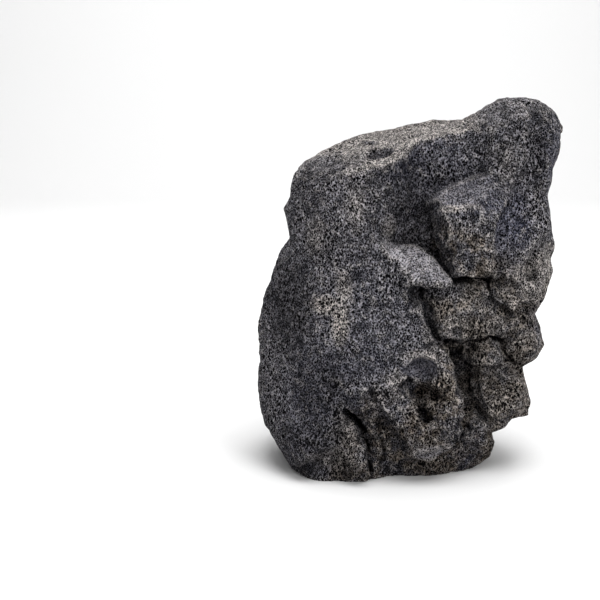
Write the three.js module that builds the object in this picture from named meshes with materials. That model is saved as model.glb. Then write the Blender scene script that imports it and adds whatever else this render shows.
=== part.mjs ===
// Lava rock: one loose stone of dark vesicular lava, standing on a flat base.
// Millimetres, +Z up, the broad face towards -Y. The origin is under the middle of the stone.
//
// The stone is described by a form function that is negative inside it. Broken blocks are
// joined, rounded lumps are added, hollows and clefts are taken away, and the outline and the
// large broken faces trim the result. One closed skin is then fitted to where it is zero.

import * as THREE from "three";
import { MarchingCubes } from "three/addons/objects/MarchingCubes.js";

// Driving dimensions. Before the final shift the axes run through the middle of the stone.

// The skin is found on a cubic grid and then evened out.
const CELL = 5.4;
const GRID_CELLS = 43;
const GRID_CORNER = [-116.3, -108.4, -13.1];
const EVENING_ROUNDS = 6;
const EVENING = 0.35;

// Outline seen from the front on the plane y = 0: it opens from the far viewpoint.
const VIEWPOINT = [-62, -659.8, 207.3];
const OUTLINE = [
  [-66, 163], [-60, 170], [-51, 175], [-38, 181], [-24, 185.5], [-11, 187.5], [2, 191],
  [12, 193.5], [22, 193], [27, 192.5], [34, 196], [41, 200], [48, 204], [53, 205],
  [63, 204.5], [71, 202.5], [78, 198.5],
  [83.5, 192.5], [85.5, 187], [83, 175], [79.5, 166], [79, 158], [77, 151], [78.5, 143],
  [80, 134], [82, 122], [80, 115], [81.5, 108], [80, 101], [77.5, 92], [72, 83], [75.5, 75],
  [78, 65], [74, 57], [66, 52], [69, 41], [71.5, 32], [71, 23], [61, 21], [57, 16],
  [50, 12.5], [51.5, 7], [49, -2], [38, -10.5], [20, -15], [-3, -17], [-21, -22], [-41, -24],
  [-54, -22], [-65, -13], [-73, 2], [-82, 18], [-90, 42], [-91.5, 72], [-88, 92], [-83, 98],
  [-79, 105], [-76, 113], [-72.5, 120], [-67.5, 127], [-68.5, 144], [-67, 154],
];
const OUTLINE_ROUNDING = 6;

// Blocks: an outline (x, z) and its front faces as point and direction (azimuth, elevation).
// taper is how far the sides spread per millimetre behind the front face.
const SLAB = [
  [-100, 210], [-16, 210], [-16, 170], [-16, 152], [-19, 133], [-13, 124], [-4, 111],
  [-1, 101], [3, 93], [7, 84], [10, 75], [1, 72], [-6, 66], [-9, 60], [-17, 57], [-25, 53],
  [-34, 42], [-48, 16], [-64, 8], [-100, 6],
];
const BLOCKS = [
  { name: "recessed wall", faces: [[20, -32, 160, 0, 5]], taper: 0, rounding: 4, blend: 3,
    outline: [[-24, 200], [110, 260], [110, 140], [40, 120], [-24, 120]] },
  { name: "inner body", faces: [[0, -24, 90, 0, 4]], taper: 0, rounding: 6, blend: 3,
    outline: [[-100, 150], [-60, 230], [110, 220], [110, -30], [-100, -30]] },
  { name: "front slab", faces: [[-30, -50, 120, -6, 6]], taper: 0.15, rounding: 3, blend: 2,
    outline: SLAB },
  { name: "slab flank", faces: [[-16, -47, 150, 47, -2]], taper: 0.2, rounding: 3, blend: 2,
    outline: [[-20, 220], [12, 220], [6, 150], [4, 124], [-20, 126]] },
  { name: "petal ledge", faces: [[-10, -51, 122, 46, 42], [0, -52, 104, 20, -10]],
    taper: 0.1, rounding: 2, blend: 1.5,
    outline: [[-21, 133], [-21, 150], [20, 150], [30, 112], [20, 101], [4, 106], [0, 99],
      [-6, 106], [-10, 121], [-14, 127]] },
  { name: "ledge", faces: [[20, -55, 148.5, 2, 52], [24, -56, 130, 6, 2], [9, -53, 146, -52, 4]],
    taper: 0.12, rounding: 2, blend: 2,
    outline: [[7, 152], [15, 156], [28, 163], [45, 168], [53, 163], [50, 150], [42, 140],
      [41, 124], [38, 113], [25, 109], [17, 112], [8, 120], [5, 138]] },
  { name: "right wall", faces: [[50, -36, 140, 16, 6]], taper: 0.3, rounding: 4, blend: 4,
    outline: [[40, 190], [66, 200], [64, 130], [52, 106], [36, 112]] },
  { name: "right flank", faces: [[64, -30, 130, 44, 2]], taper: 0.2, rounding: 4, blend: 3,
    outline: [[58, 157], [70, 157], [95, 165], [95, 100], [70, 90], [54, 104]] },
  { name: "lip block", faces: [[4, -58, 42, 6, 3]], taper: 0.2, rounding: 4, blend: 2,
    outline: [[-25, 53], [-17, 57], [-9, 60], [-6, 66], [1, 72], [10, 74], [18, 66], [24, 55],
      [27, 45], [26, 32], [20, 23], [11, 18], [-2, 19], [-10, 26], [-17, 35], [-22, 44]] },
  { name: "under the lip", faces: [[-16, -52, 30, 6, -10]], taper: 0.2, rounding: 3, blend: 2,
    outline: [[-46, 58], [-29, 53], [-20, 41], [-8, 24], [20, 21], [30, 30], [34, -20],
      [-24, -20], [-25, 22], [-31, 32], [-38, 39]] },
  { name: "left foot", faces: [[-40, -53, 20, -8, -2]], taper: 0.3, rounding: 3, blend: 2,
    outline: [[-39, 38], [-32, 31], [-26, 20], [-24, -20], [-66, -20], [-56, 12], [-47, 34]] },
  { name: "left base", faces: [[-56, -46, 30, -36, -6]], taper: 0.2, rounding: 4, blend: 3,
    outline: [[-46, 60], [-38, 39], [-46, 14], [-52, -20], [-100, -20], [-110, 60]] },
  { name: "right foot", faces: [[34, -37, 16, 22, -4]], taper: 0.1, rounding: 4, blend: 3,
    outline: [[16, 30], [34, 36], [46, 28], [52, 14], [48, -20], [14, -20]] },
];

// Face that trims the blocks along the sloping top, before the horn is added.
const TOP_FACE = { face: [-23, -40, 171, -40, 66], rounding: 3.5 };

// Ellipsoids: centre, half sizes, roll about Y in degrees, blend.
const HORN = [
  { name: "horn", centre: [55, -6, 176], half: [31, 26, 31], roll: 20, blend: 6 },
  { name: "horn lobe", centre: [68, -4, 178], half: [16, 20, 24], roll: 10, blend: 5 },
];
const LUMPS = [
  { name: "upper flank lump", centre: [24, -32, 88], half: [21, 17, 14], roll: -22, blend: 3 },
  { name: "upper flank knob", centre: [10, -36, 97], half: [9, 13, 8], roll: 0, blend: 3 },
  { name: "middle flank lump", centre: [38, -30, 66], half: [13, 15, 9], roll: -14, blend: 3 },
  { name: "lower flank lump", centre: [51, -26, 46], half: [15, 17, 17], roll: -20, blend: 3 },
  { name: "low point", centre: [60, -20, 35], half: [12, 14, 11], roll: 0, blend: 3 },
  { name: "right shoulder", centre: [66, -22, 112], half: [13, 16, 19], roll: 8, blend: 3 },
  { name: "right bulge", centre: [60, -20, 72], half: [16, 17, 14], roll: 14, blend: 3 },
  { name: "middle shelf", centre: [46, -32, 97], half: [12, 13, 11], roll: -20, blend: 3 },
  { name: "lump under the ledge", centre: [30, -38, 102], half: [13, 13, 8], roll: 0, blend: 3 },
  { name: "right foot lump", centre: [40, -28, 16], half: [12, 14, 13], roll: 0, blend: 3 },
  { name: "back left lump", centre: [-48, 34, 60], half: [30, 20, 34], roll: 20, blend: 5 },
  { name: "back lump", centre: [28, 40, 64], half: [28, 16, 26], roll: -15, blend: 5 },
  { name: "back knob", centre: [-6, 46, 26], half: [20, 12, 16], roll: 10, blend: 4 },
];
const HOLLOWS = [
  { name: "hole in the top", centre: [-26, -22, 180], half: [6, 4, 6], roll: 15, blend: 2 },
  { name: "hollow at the lip", centre: [1, -65, 63], half: [9, 12, 6], roll: 20, blend: 2 },
  { name: "cave below the lip", centre: [-2, -63, 50], half: [5, 12, 9], roll: -8, blend: 3 },
  { name: "pit below the petal", centre: [4, -56, 101], half: [4, 8, 5], roll: 0, blend: 2 },
  { name: "oval chip", centre: [7, -62, 17], half: [8, 7, 4], roll: 8, blend: 2 },
  { name: "back scoop", centre: [-18, 66, 128], half: [40, 20, 30], roll: 25, blend: 6 },
  { name: "back right scoop", centre: [60, 44, 124], half: [24, 22, 30], roll: -20, blend: 6 },
  { name: "left scoop", centre: [-98, 18, 120], half: [22, 26, 30], roll: 0, blend: 6 },
];

// Clefts: round channels of the given radius along a line of points.
const CLEFTS = [
  { name: "slab cleft", radius: 6.5, blend: 3,
    line: [[2, -47, 101], [5, -48, 92], [13, -48, 77], [22, -48, 65], [29, -47, 54],
      [34, -45, 44], [38, -41, 34], [52, -32, 28]] },
  { name: "bulge cleft", radius: 3.5, blend: 3,
    line: [[40, -36, 54], [52, -34, 63], [66, -24, 57]] },
  { name: "horn valley", radius: 3.5, blend: 6,
    line: [[66, -24, 202], [66, -33, 188], [64, -35, 172], [62, -36, 160]] },
  { name: "back cleft", radius: 6, blend: 8,
    line: [[-50, 50, 96], [-20, 60, 84], [16, 58, 92], [44, 48, 84]] },
  { name: "low back cleft", radius: 4, blend: 6,
    line: [[10, 60, 92], [2, 60, 54], [12, 56, 20]] },
];

// Large broken faces that trim the whole stone: point, azimuth and elevation.
const TRIM_FACES = [
  { name: "left front", face: [-66, -27, 120, -54, 8], rounding: 7 },
  { name: "low left", face: [-74, -42, 6, -50, -34], rounding: 8 },
  { name: "base front", face: [0, -52, 5, 12, -50], rounding: 4 },
  { name: "base right front", face: [28, -36, 2, 30, -30], rounding: 6 },
  { name: "right front", face: [77, -24, 110, 62, 0], rounding: 8 },
  { name: "left side", face: [-86, 4, 66, -98, 4], rounding: 7 },
  { name: "left top", face: [-66, 10, 158, -112, 34], rounding: 6 },
  { name: "back", face: [0, 50, 100, 176, 4], rounding: 6 },
  { name: "back left", face: [-58, 32, 96, -130, 9], rounding: 7 },
  { name: "back right", face: [60, 30, 100, 132, -4], rounding: 7 },
  { name: "back top", face: [10, 40, 178, 168, 46], rounding: 6 },
  { name: "low back", face: [0, 42, 14, 186, -32], rounding: 7 },
  { name: "back left low", face: [-62, 26, 18, -142, -24], rounding: 6 },
  { name: "back right low", face: [52, 22, 24, 118, -26], rounding: 7 },
];

// Torn part of the front, seen from the front, where the surface is rough and lumpy.
const TORN_PART = [
  [7, 147], [38, 147], [41, 126], [52, 122], [60, 118], [70, 128], [120, 132], [120, -60],
  [-56, -60], [-50, 0], [-47, 16], [-36, 42], [-25, 54], [-9, 61], [1, 73], [10, 76],
  [4, 93], [0, 100], [8, 104], [20, 103], [23, 108], [16, 117], [6, 122],
];

// Surface relief: size of the features, height on even faces, extra height on torn ones, seed.
const RELIEF = [
  { size: 24, height: 0.9, torn: 2.4, seed: 51 },
  { size: 11, height: 0.4, torn: 1.3, seed: 52 },
];
const BENDS = [
  { size: 50, height: 2.6, seed: 11 },
  { size: 20, height: 1.4, seed: 31 },
];
const OUTLINE_BEND = { size: 12, height: 0.7, seed: 41 };
// Raised plates with broken edges on the back.
const PLATES = [
  { size: 56, height: 3.4, from: -0.07, to: 0.09, seed: 61 },
  { size: 34, height: 2, from: -0.02, to: 0.16, seed: 62 },
];
const PLATE_MEAN = 2;
const TORN_PATCHES = { size: 60, from: -0.25, to: 0.25, seed: 71 };

const stoneMaterial = new THREE.MeshStandardMaterial({
  color: 0x5a5a5e,
  roughness: 0.95,
  metalness: 0,
});

// Helpers of the form function.

function smoothMax(a, b, width) {
  const h = Math.max(width - Math.abs(a - b), 0);
  return Math.max(a, b) + (h * h) / (4 * width);
}

function smoothMin(a, b, width) {
  const h = Math.max(width - Math.abs(a - b), 0);
  return Math.min(a, b) - (h * h) / (4 * width);
}

function smoothStep(value, from, to) {
  const t = Math.min(Math.max((value - from) / (to - from), 0), 1);
  return t * t * (3 - 2 * t);
}

// Gradient value at one corner of the noise lattice, from a hash of its whole numbers.
function cornerValue(ix, iy, iz, fx, fy, fz) {
  let h = Math.imul(ix, 0x8da6b343) ^ Math.imul(iy, 0xd8163841) ^ Math.imul(iz, 0xcb1ab31f);
  h ^= h >>> 13;
  h = Math.imul(h, 0x5bd1e995);
  h ^= h >>> 15;
  const gx = (h & 1023) / 511.5 - 1;
  const gy = ((h >>> 10) & 1023) / 511.5 - 1;
  const gz = ((h >>> 20) & 1023) / 511.5 - 1;
  return gx * fx + gy * fy + gz * fz;
}

function fade(t) {
  return t * t * t * (t * (t * 6 - 15) + 10);
}

// Smooth noise of about -1 to 1 on a lattice that is turned against the stone's axes.
function noise(px, py, pz, size, seed) {
  const ax = px / size;
  const ay = py / size;
  const az = pz / size;
  const x = 0.8 * ax + 0.6 * ay + 17.3 * seed;
  const y = -0.48 * ax + 0.64 * ay + 0.6 * az + 9.1 * seed;
  const z = 0.36 * ax - 0.48 * ay + 0.8 * az + 4.7 * seed;
  const ix = Math.floor(x);
  const iy = Math.floor(y);
  const iz = Math.floor(z);
  const fx = x - ix;
  const fy = y - iy;
  const fz = z - iz;
  const ux = fade(fx);
  const uy = fade(fy);
  const uz = fade(fz);
  let sum = 0;
  for (let dx = 0; dx < 2; dx += 1) {
    for (let dy = 0; dy < 2; dy += 1) {
      for (let dz = 0; dz < 2; dz += 1) {
        const weight = (dx ? ux : 1 - ux) * (dy ? uy : 1 - uy) * (dz ? uz : 1 - uz);
        sum += weight * cornerValue(ix + dx, iy + dy, iz + dz, fx - dx, fy - dy, fz - dz);
      }
    }
  }
  return 1.6 * sum;
}

function bent(p, bend) {
  const [x, y, z] = p;
  return [0, 1, 2].map((k) => bend.height * noise(x, y, z, bend.size, bend.seed + k));
}

function facing([x, y, z, azimuth, elevation]) {
  const a = THREE.MathUtils.degToRad(azimuth);
  const e = THREE.MathUtils.degToRad(elevation);
  const n = [Math.sin(a) * Math.cos(e), -Math.cos(a) * Math.cos(e), Math.sin(e)];
  return { n, at: n[0] * x + n[1] * y + n[2] * z };
}

function planeDistance(p, plane) {
  return plane.n[0] * p[0] + plane.n[1] * p[1] + plane.n[2] * p[2] - plane.at;
}

// Signed distance to a closed outline, negative inside it.
function outlineDistance(x, z, points) {
  let best = Infinity;
  let inside = false;
  for (let i = 0; i < points.length; i += 1) {
    const [ax, az] = points[i];
    const [bx, bz] = points[(i + 1) % points.length];
    const ex = bx - ax;
    const ez = bz - az;
    const wx = x - ax;
    const wz = z - az;
    const t = Math.min(Math.max((wx * ex + wz * ez) / (ex * ex + ez * ez), 0), 1);
    best = Math.min(best, (wx - ex * t) ** 2 + (wz - ez * t) ** 2);
    if (az > z !== bz > z && x < ax + ((z - az) * ex) / ez) {
      inside = !inside;
    }
  }
  return inside ? -Math.sqrt(best) : Math.sqrt(best);
}

function ellipsoidDistance(p, item) {
  const x = p[0] - item.centre[0];
  const y = p[1] - item.centre[1];
  const z = p[2] - item.centre[2];
  const u = (x * item.cos + z * item.sin) / item.half[0];
  const v = y / item.half[1];
  const w = (-x * item.sin + z * item.cos) / item.half[2];
  return (Math.hypot(u, v, w) - 1) * item.least;
}

function channelDistance(p, item) {
  let best = Infinity;
  for (let i = 0; i + 1 < item.line.length; i += 1) {
    const a = item.line[i];
    const b = item.line[i + 1];
    const e = [b[0] - a[0], b[1] - a[1], b[2] - a[2]];
    const w = [p[0] - a[0], p[1] - a[1], p[2] - a[2]];
    const along = w[0] * e[0] + w[1] * e[1] + w[2] * e[2];
    const t = Math.min(Math.max(along / (e[0] ** 2 + e[1] ** 2 + e[2] ** 2), 0), 1);
    best = Math.min(best, Math.hypot(w[0] - e[0] * t, w[1] - e[1] * t, w[2] - e[2] * t));
  }
  return best - item.radius;
}

const blocks = BLOCKS.map((block) => {
  const xs = block.outline.map((point) => point[0]);
  const zs = block.outline.map((point) => point[1]);
  const [left, right] = [Math.min(...xs), Math.max(...xs)];
  const [low, high] = [Math.min(...zs), Math.max(...zs)];
  return {
    ...block,
    planes: block.faces.map(facing),
    middle: [(left + right) / 2, (low + high) / 2],
    reach: [(right - left) / 2, (high - low) / 2],
  };
});

function rolled(item) {
  const roll = THREE.MathUtils.degToRad(item.roll);
  return { ...item, cos: Math.cos(roll), sin: Math.sin(roll), least: Math.min(...item.half) };
}

const horn = HORN.map(rolled);
const lumps = LUMPS.map(rolled);
const hollows = HOLLOWS.map(rolled);
const topPlane = facing(TOP_FACE.face);
const trims = TRIM_FACES.map((item) => ({ ...item, plane: facing(item.face) }));

const BLOCK_NEAR = 12;
const BLOCK_DEPTH = 24;

function blockDistance(p, block) {
  let front = planeDistance(p, block.planes[0]);
  for (let i = 1; i < block.planes.length; i += 1) {
    front = smoothMax(front, planeDistance(p, block.planes[i]), block.rounding);
  }
  const spread = block.taper * Math.max(front, -BLOCK_DEPTH);
  const aside = Math.abs(p[0] - block.middle[0]) - block.reach[0];
  const above = Math.abs(p[2] - block.middle[1]) - block.reach[1];
  const bound = Math.max(front, Math.max(aside, above) + spread);
  if (bound >= BLOCK_NEAR) {
    return bound;
  }
  const side = outlineDistance(p[0], p[2], block.outline) + spread;
  return smoothMax(front, side, block.rounding);
}

// The stone's blocks, lumps, hollows, clefts and broken faces.
function bodyDistance(p) {
  const w = [...p];
  for (const bend of BENDS) {
    bent(p, bend).forEach((shift, k) => {
      w[k] += shift;
    });
  }
  let f = blockDistance(w, blocks[0]);
  for (let i = 1; i < blocks.length; i += 1) {
    f = smoothMin(f, blockDistance(w, blocks[i]), blocks[i].blend);
  }
  f = smoothMax(f, planeDistance(w, topPlane), TOP_FACE.rounding);
  for (const item of [...horn, ...lumps]) {
    f = smoothMin(f, ellipsoidDistance(w, item), item.blend);
  }
  for (const item of hollows) {
    f = smoothMax(f, -ellipsoidDistance(w, item), item.blend);
  }
  for (const item of CLEFTS) {
    f = smoothMax(f, -channelDistance(w, item), item.blend);
  }
  for (const item of trims) {
    f = smoothMax(f, planeDistance(w, item.plane), item.rounding);
  }
  return f;
}

// 1 where the stone is torn and lumpy, 0 on its even broken faces.
function tornShare([x, y, z]) {
  const front = smoothStep(-outlineDistance(x, z, TORN_PART), -1, 7);
  const patch = noise(x, y, z, TORN_PATCHES.size, TORN_PATCHES.seed);
  const back = smoothStep(patch, TORN_PATCHES.from, TORN_PATCHES.to);
  const behind = smoothStep(y, -12, 8);
  return front * (1 - behind) + back * behind;
}

function silhouetteDistance(p) {
  const shift = bent(p, OUTLINE_BEND);
  const scale = -VIEWPOINT[1] / (p[1] + shift[1] - VIEWPOINT[1]);
  const x = VIEWPOINT[0] + (p[0] + shift[0] - VIEWPOINT[0]) * scale;
  const z = VIEWPOINT[2] + (p[2] + shift[2] - VIEWPOINT[2]) * scale;
  return outlineDistance(x, z, OUTLINE);
}

function plateHeight([x, y, z]) {
  let height = -PLATE_MEAN;
  for (const plate of PLATES) {
    const value = noise(x, y, z, plate.size, plate.seed);
    height += plate.height * smoothStep(value, plate.from, plate.to);
  }
  return height * smoothStep(y, -26, 8);
}

function formDistance(p) {
  const torn = tornShare(p);
  let f = bodyDistance(p) - plateHeight(p);
  for (const relief of RELIEF) {
    const height = relief.height + relief.torn * torn;
    f -= height * noise(p[0], p[1], p[2], relief.size, relief.seed);
  }
  f = smoothMax(f, silhouetteDistance(p), OUTLINE_ROUNDING);
  return Math.max(f, -p[2]);
}

// Moves a point to the surface along the form's slope.
function settled(p) {
  const reach = 0.8;
  const g = [0, 1, 2].map((k) => {
    const ahead = [...p];
    const behind = [...p];
    ahead[k] += reach;
    behind[k] -= reach;
    return (formDistance(ahead) - formDistance(behind)) / (2 * reach);
  });
  const steep = Math.max(g[0] ** 2 + g[1] ** 2 + g[2] ** 2, 0.3);
  const f = Math.max(-CELL / 3, Math.min(CELL / 3, formDistance(p)));
  return p.map((value, k) => value - (f * g[k]) / steep);
}

// Form values on the grid, kept a little off zero so that no corner lies on the surface.
function fillGrid(grid) {
  for (let iz = 0; iz < GRID_CELLS; iz += 1) {
    for (let iy = 0; iy < GRID_CELLS; iy += 1) {
      for (let ix = 0; ix < GRID_CELLS; ix += 1) {
        const p = [ix, iy, iz].map((step, k) => GRID_CORNER[k] + step * CELL);
        const f = formDistance(p);
        const value = Math.sign(f || 1) * Math.max(Math.abs(f), 0.2);
        grid.field[ix + GRID_CELLS * (iy + GRID_CELLS * iz)] = -value;
      }
    }
  }
}

// The grid's triangles with one point for each crossed grid edge.
function gridSkin(grid) {
  const corners = grid.geometry.getAttribute("position");
  const points = [];
  const triangles = [];
  const seen = new Map();
  for (let i = 0; i < grid.count; i += 1) {
    const steps = [corners.getX(i), corners.getY(i), corners.getZ(i)].map(
      (value) => (value + 1) * (GRID_CELLS / 2),
    );
    const key = steps
      .map((value) => {
        const whole = Math.round(value);
        return Math.abs(value - whole) < 1e-3 ? whole : Math.floor(value) + 0.5;
      })
      .join(" ");
    if (!seen.has(key)) {
      seen.set(key, points.length);
      points.push(steps.map((value, k) => GRID_CORNER[k] + value * CELL));
    }
    triangles.push(seen.get(key));
  }
  return largestSkin(points, triangles);
}

function neighbours(points, triangles) {
  const around = points.map(() => new Set());
  for (let i = 0; i < triangles.length; i += 3) {
    const [a, b, c] = triangles.slice(i, i + 3);
    around[a].add(b).add(c);
    around[b].add(a).add(c);
    around[c].add(a).add(b);
  }
  return around;
}

// Leaves out any closed pocket inside the stone.
function largestSkin(points, triangles) {
  const around = neighbours(points, triangles);
  const part = points.map(() => -1);
  const sizes = [];
  points.forEach((point, first) => {
    if (part[first] >= 0) {
      return;
    }
    const open = [first];
    part[first] = sizes.length;
    let size = 0;
    while (open.length > 0) {
      size += 1;
      for (const other of around[open.pop()]) {
        if (part[other] < 0) {
          part[other] = sizes.length;
          open.push(other);
        }
      }
    }
    sizes.push(size);
  });
  const kept = sizes.indexOf(Math.max(...sizes));
  const place = new Map();
  points.forEach((point, i) => {
    if (part[i] === kept) {
      place.set(i, place.size);
    }
  });
  return {
    points: points.filter((point, i) => part[i] === kept),
    triangles: triangles.filter((i) => part[i] === kept).map((i) => place.get(i)),
  };
}

// One closed skin on the form: its points keep to the middle of their neighbours along the
// surface, so that the triangles come out even.
function skinGeometry() {
  const grid = new MarchingCubes(GRID_CELLS, stoneMaterial, false, false, 20000);
  grid.isolation = 0;
  fillGrid(grid);
  grid.update();
  const { points: start, triangles } = gridSkin(grid);
  const around = neighbours(start, triangles);
  let points = start;
  for (let round = 0; round < EVENING_ROUNDS; round += 1) {
    points = points.map((p, i) => {
      const q = [...p];
      for (const other of around[i]) {
        for (let k = 0; k < 3; k += 1) {
          q[k] += (EVENING * (points[other][k] - p[k])) / around[i].size;
        }
      }
      return settled(q);
    });
  }
  const geometry = new THREE.BufferGeometry();
  const values = points.flatMap((p) => [p[0], p[1], p[2] < 0.4 ? 0 : p[2]]);
  geometry.setAttribute("position", new THREE.Float32BufferAttribute(values, 3));
  geometry.setIndex(triangles);
  geometry.computeBoundingBox();
  const middle = geometry.boundingBox.getCenter(new THREE.Vector3());
  geometry.translate(-middle.x, -middle.y, 0);
  geometry.computeVertexNormals();
  return geometry;
}

const stone = new THREE.Group();
const rock = new THREE.Mesh(skinGeometry(), stoneMaterial);
rock.name = "lava_rock";
stone.add(rock);

export default stone;
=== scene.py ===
"""Lava rock: one loose stone of dark, finely pitted lava, standing on its flat base."""

from concurrent.futures import ThreadPoolExecutor
from functools import partial
from itertools import product

import bpy
import numpy as np
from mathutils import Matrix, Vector


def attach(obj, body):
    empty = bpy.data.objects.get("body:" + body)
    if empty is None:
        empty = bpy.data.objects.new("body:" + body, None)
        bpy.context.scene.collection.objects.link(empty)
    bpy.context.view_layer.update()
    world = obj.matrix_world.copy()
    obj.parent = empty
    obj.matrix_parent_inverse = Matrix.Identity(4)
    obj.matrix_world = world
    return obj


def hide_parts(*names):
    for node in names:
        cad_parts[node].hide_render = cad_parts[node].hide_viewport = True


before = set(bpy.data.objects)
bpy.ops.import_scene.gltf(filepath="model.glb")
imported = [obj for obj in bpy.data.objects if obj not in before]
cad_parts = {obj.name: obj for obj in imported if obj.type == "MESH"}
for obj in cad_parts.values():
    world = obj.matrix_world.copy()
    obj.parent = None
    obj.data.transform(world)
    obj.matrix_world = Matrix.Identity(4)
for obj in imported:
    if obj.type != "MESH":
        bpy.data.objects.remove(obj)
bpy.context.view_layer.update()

bl_info = {
    "name": "Lava rock",
    "version": (1, 0, 0),
    "blender": (4, 5, 0),
    "location": "View3D > Sidebar > Lava rock",
    "description": "Builds a loose stone of dark, finely pitted lava and a plain studio stage",
    "category": "Object",
}

MM = 0.001
ROCK_NODE = "lava_rock"

# The form's own axes stand this far from the origin under the middle of the stone, in mm.
FORM_MIDDLE = (-0.421, -2.244)

# Outline of the stone on the plane y = 0, as it looks from the viewpoint. All in mm.
VIEWPOINT = (-62.0, -659.8, 207.3)
OUTLINE = [
    (-66, 163), (-60, 170), (-51, 175), (-38, 181), (-24, 185.5), (-11, 187.5), (2, 191),
    (12, 193.5), (22, 193), (27, 192.5), (34, 196), (41, 200), (48, 204), (53, 205.5),
    (63, 205), (71, 203), (78, 199), (84, 193), (86.5, 187), (83, 175), (79.5, 166),
    (79, 158), (77, 151), (78.5, 143), (80, 134), (82, 122), (80, 115), (81.5, 108),
    (80, 101), (77.5, 92), (72, 83), (75.5, 75),
    (78, 65), (74, 57), (66, 52), (69, 41), (71.5, 32), (71, 23), (61, 21), (57, 16),
    (50, 12.5), (51.5, 7), (49, -2), (38, -10.5), (20, -15), (-3, -17), (-21, -22), (-41, -24),
    (-54, -22), (-65, -13), (-73, 2), (-82, 18), (-90, 42), (-91.5, 72), (-88, 92), (-83, 98),
    (-79, 105), (-76, 113), (-72.5, 120), (-67.5, 127), (-71, 144), (-67, 150), (-67, 156),
]
OUTLINE_ROUNDING = 6.0

# The broad front slab's outline (x, z).
SLAB = [
    (-100, 210), (-16, 210), (-16, 170), (-16, 152), (-18, 132), (-13.5, 124.5), (-8, 119.5),
    (-4, 114), (-1, 109), (1, 105), (0, 101), (3, 93), (4.5, 85), (8, 77.5), (1, 72), (-6, 66),
    (-9, 60), (-17, 57), (-25, 53), (-34, 42), (-48, 16), (-64, 8), (-100, 6),
]

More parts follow.
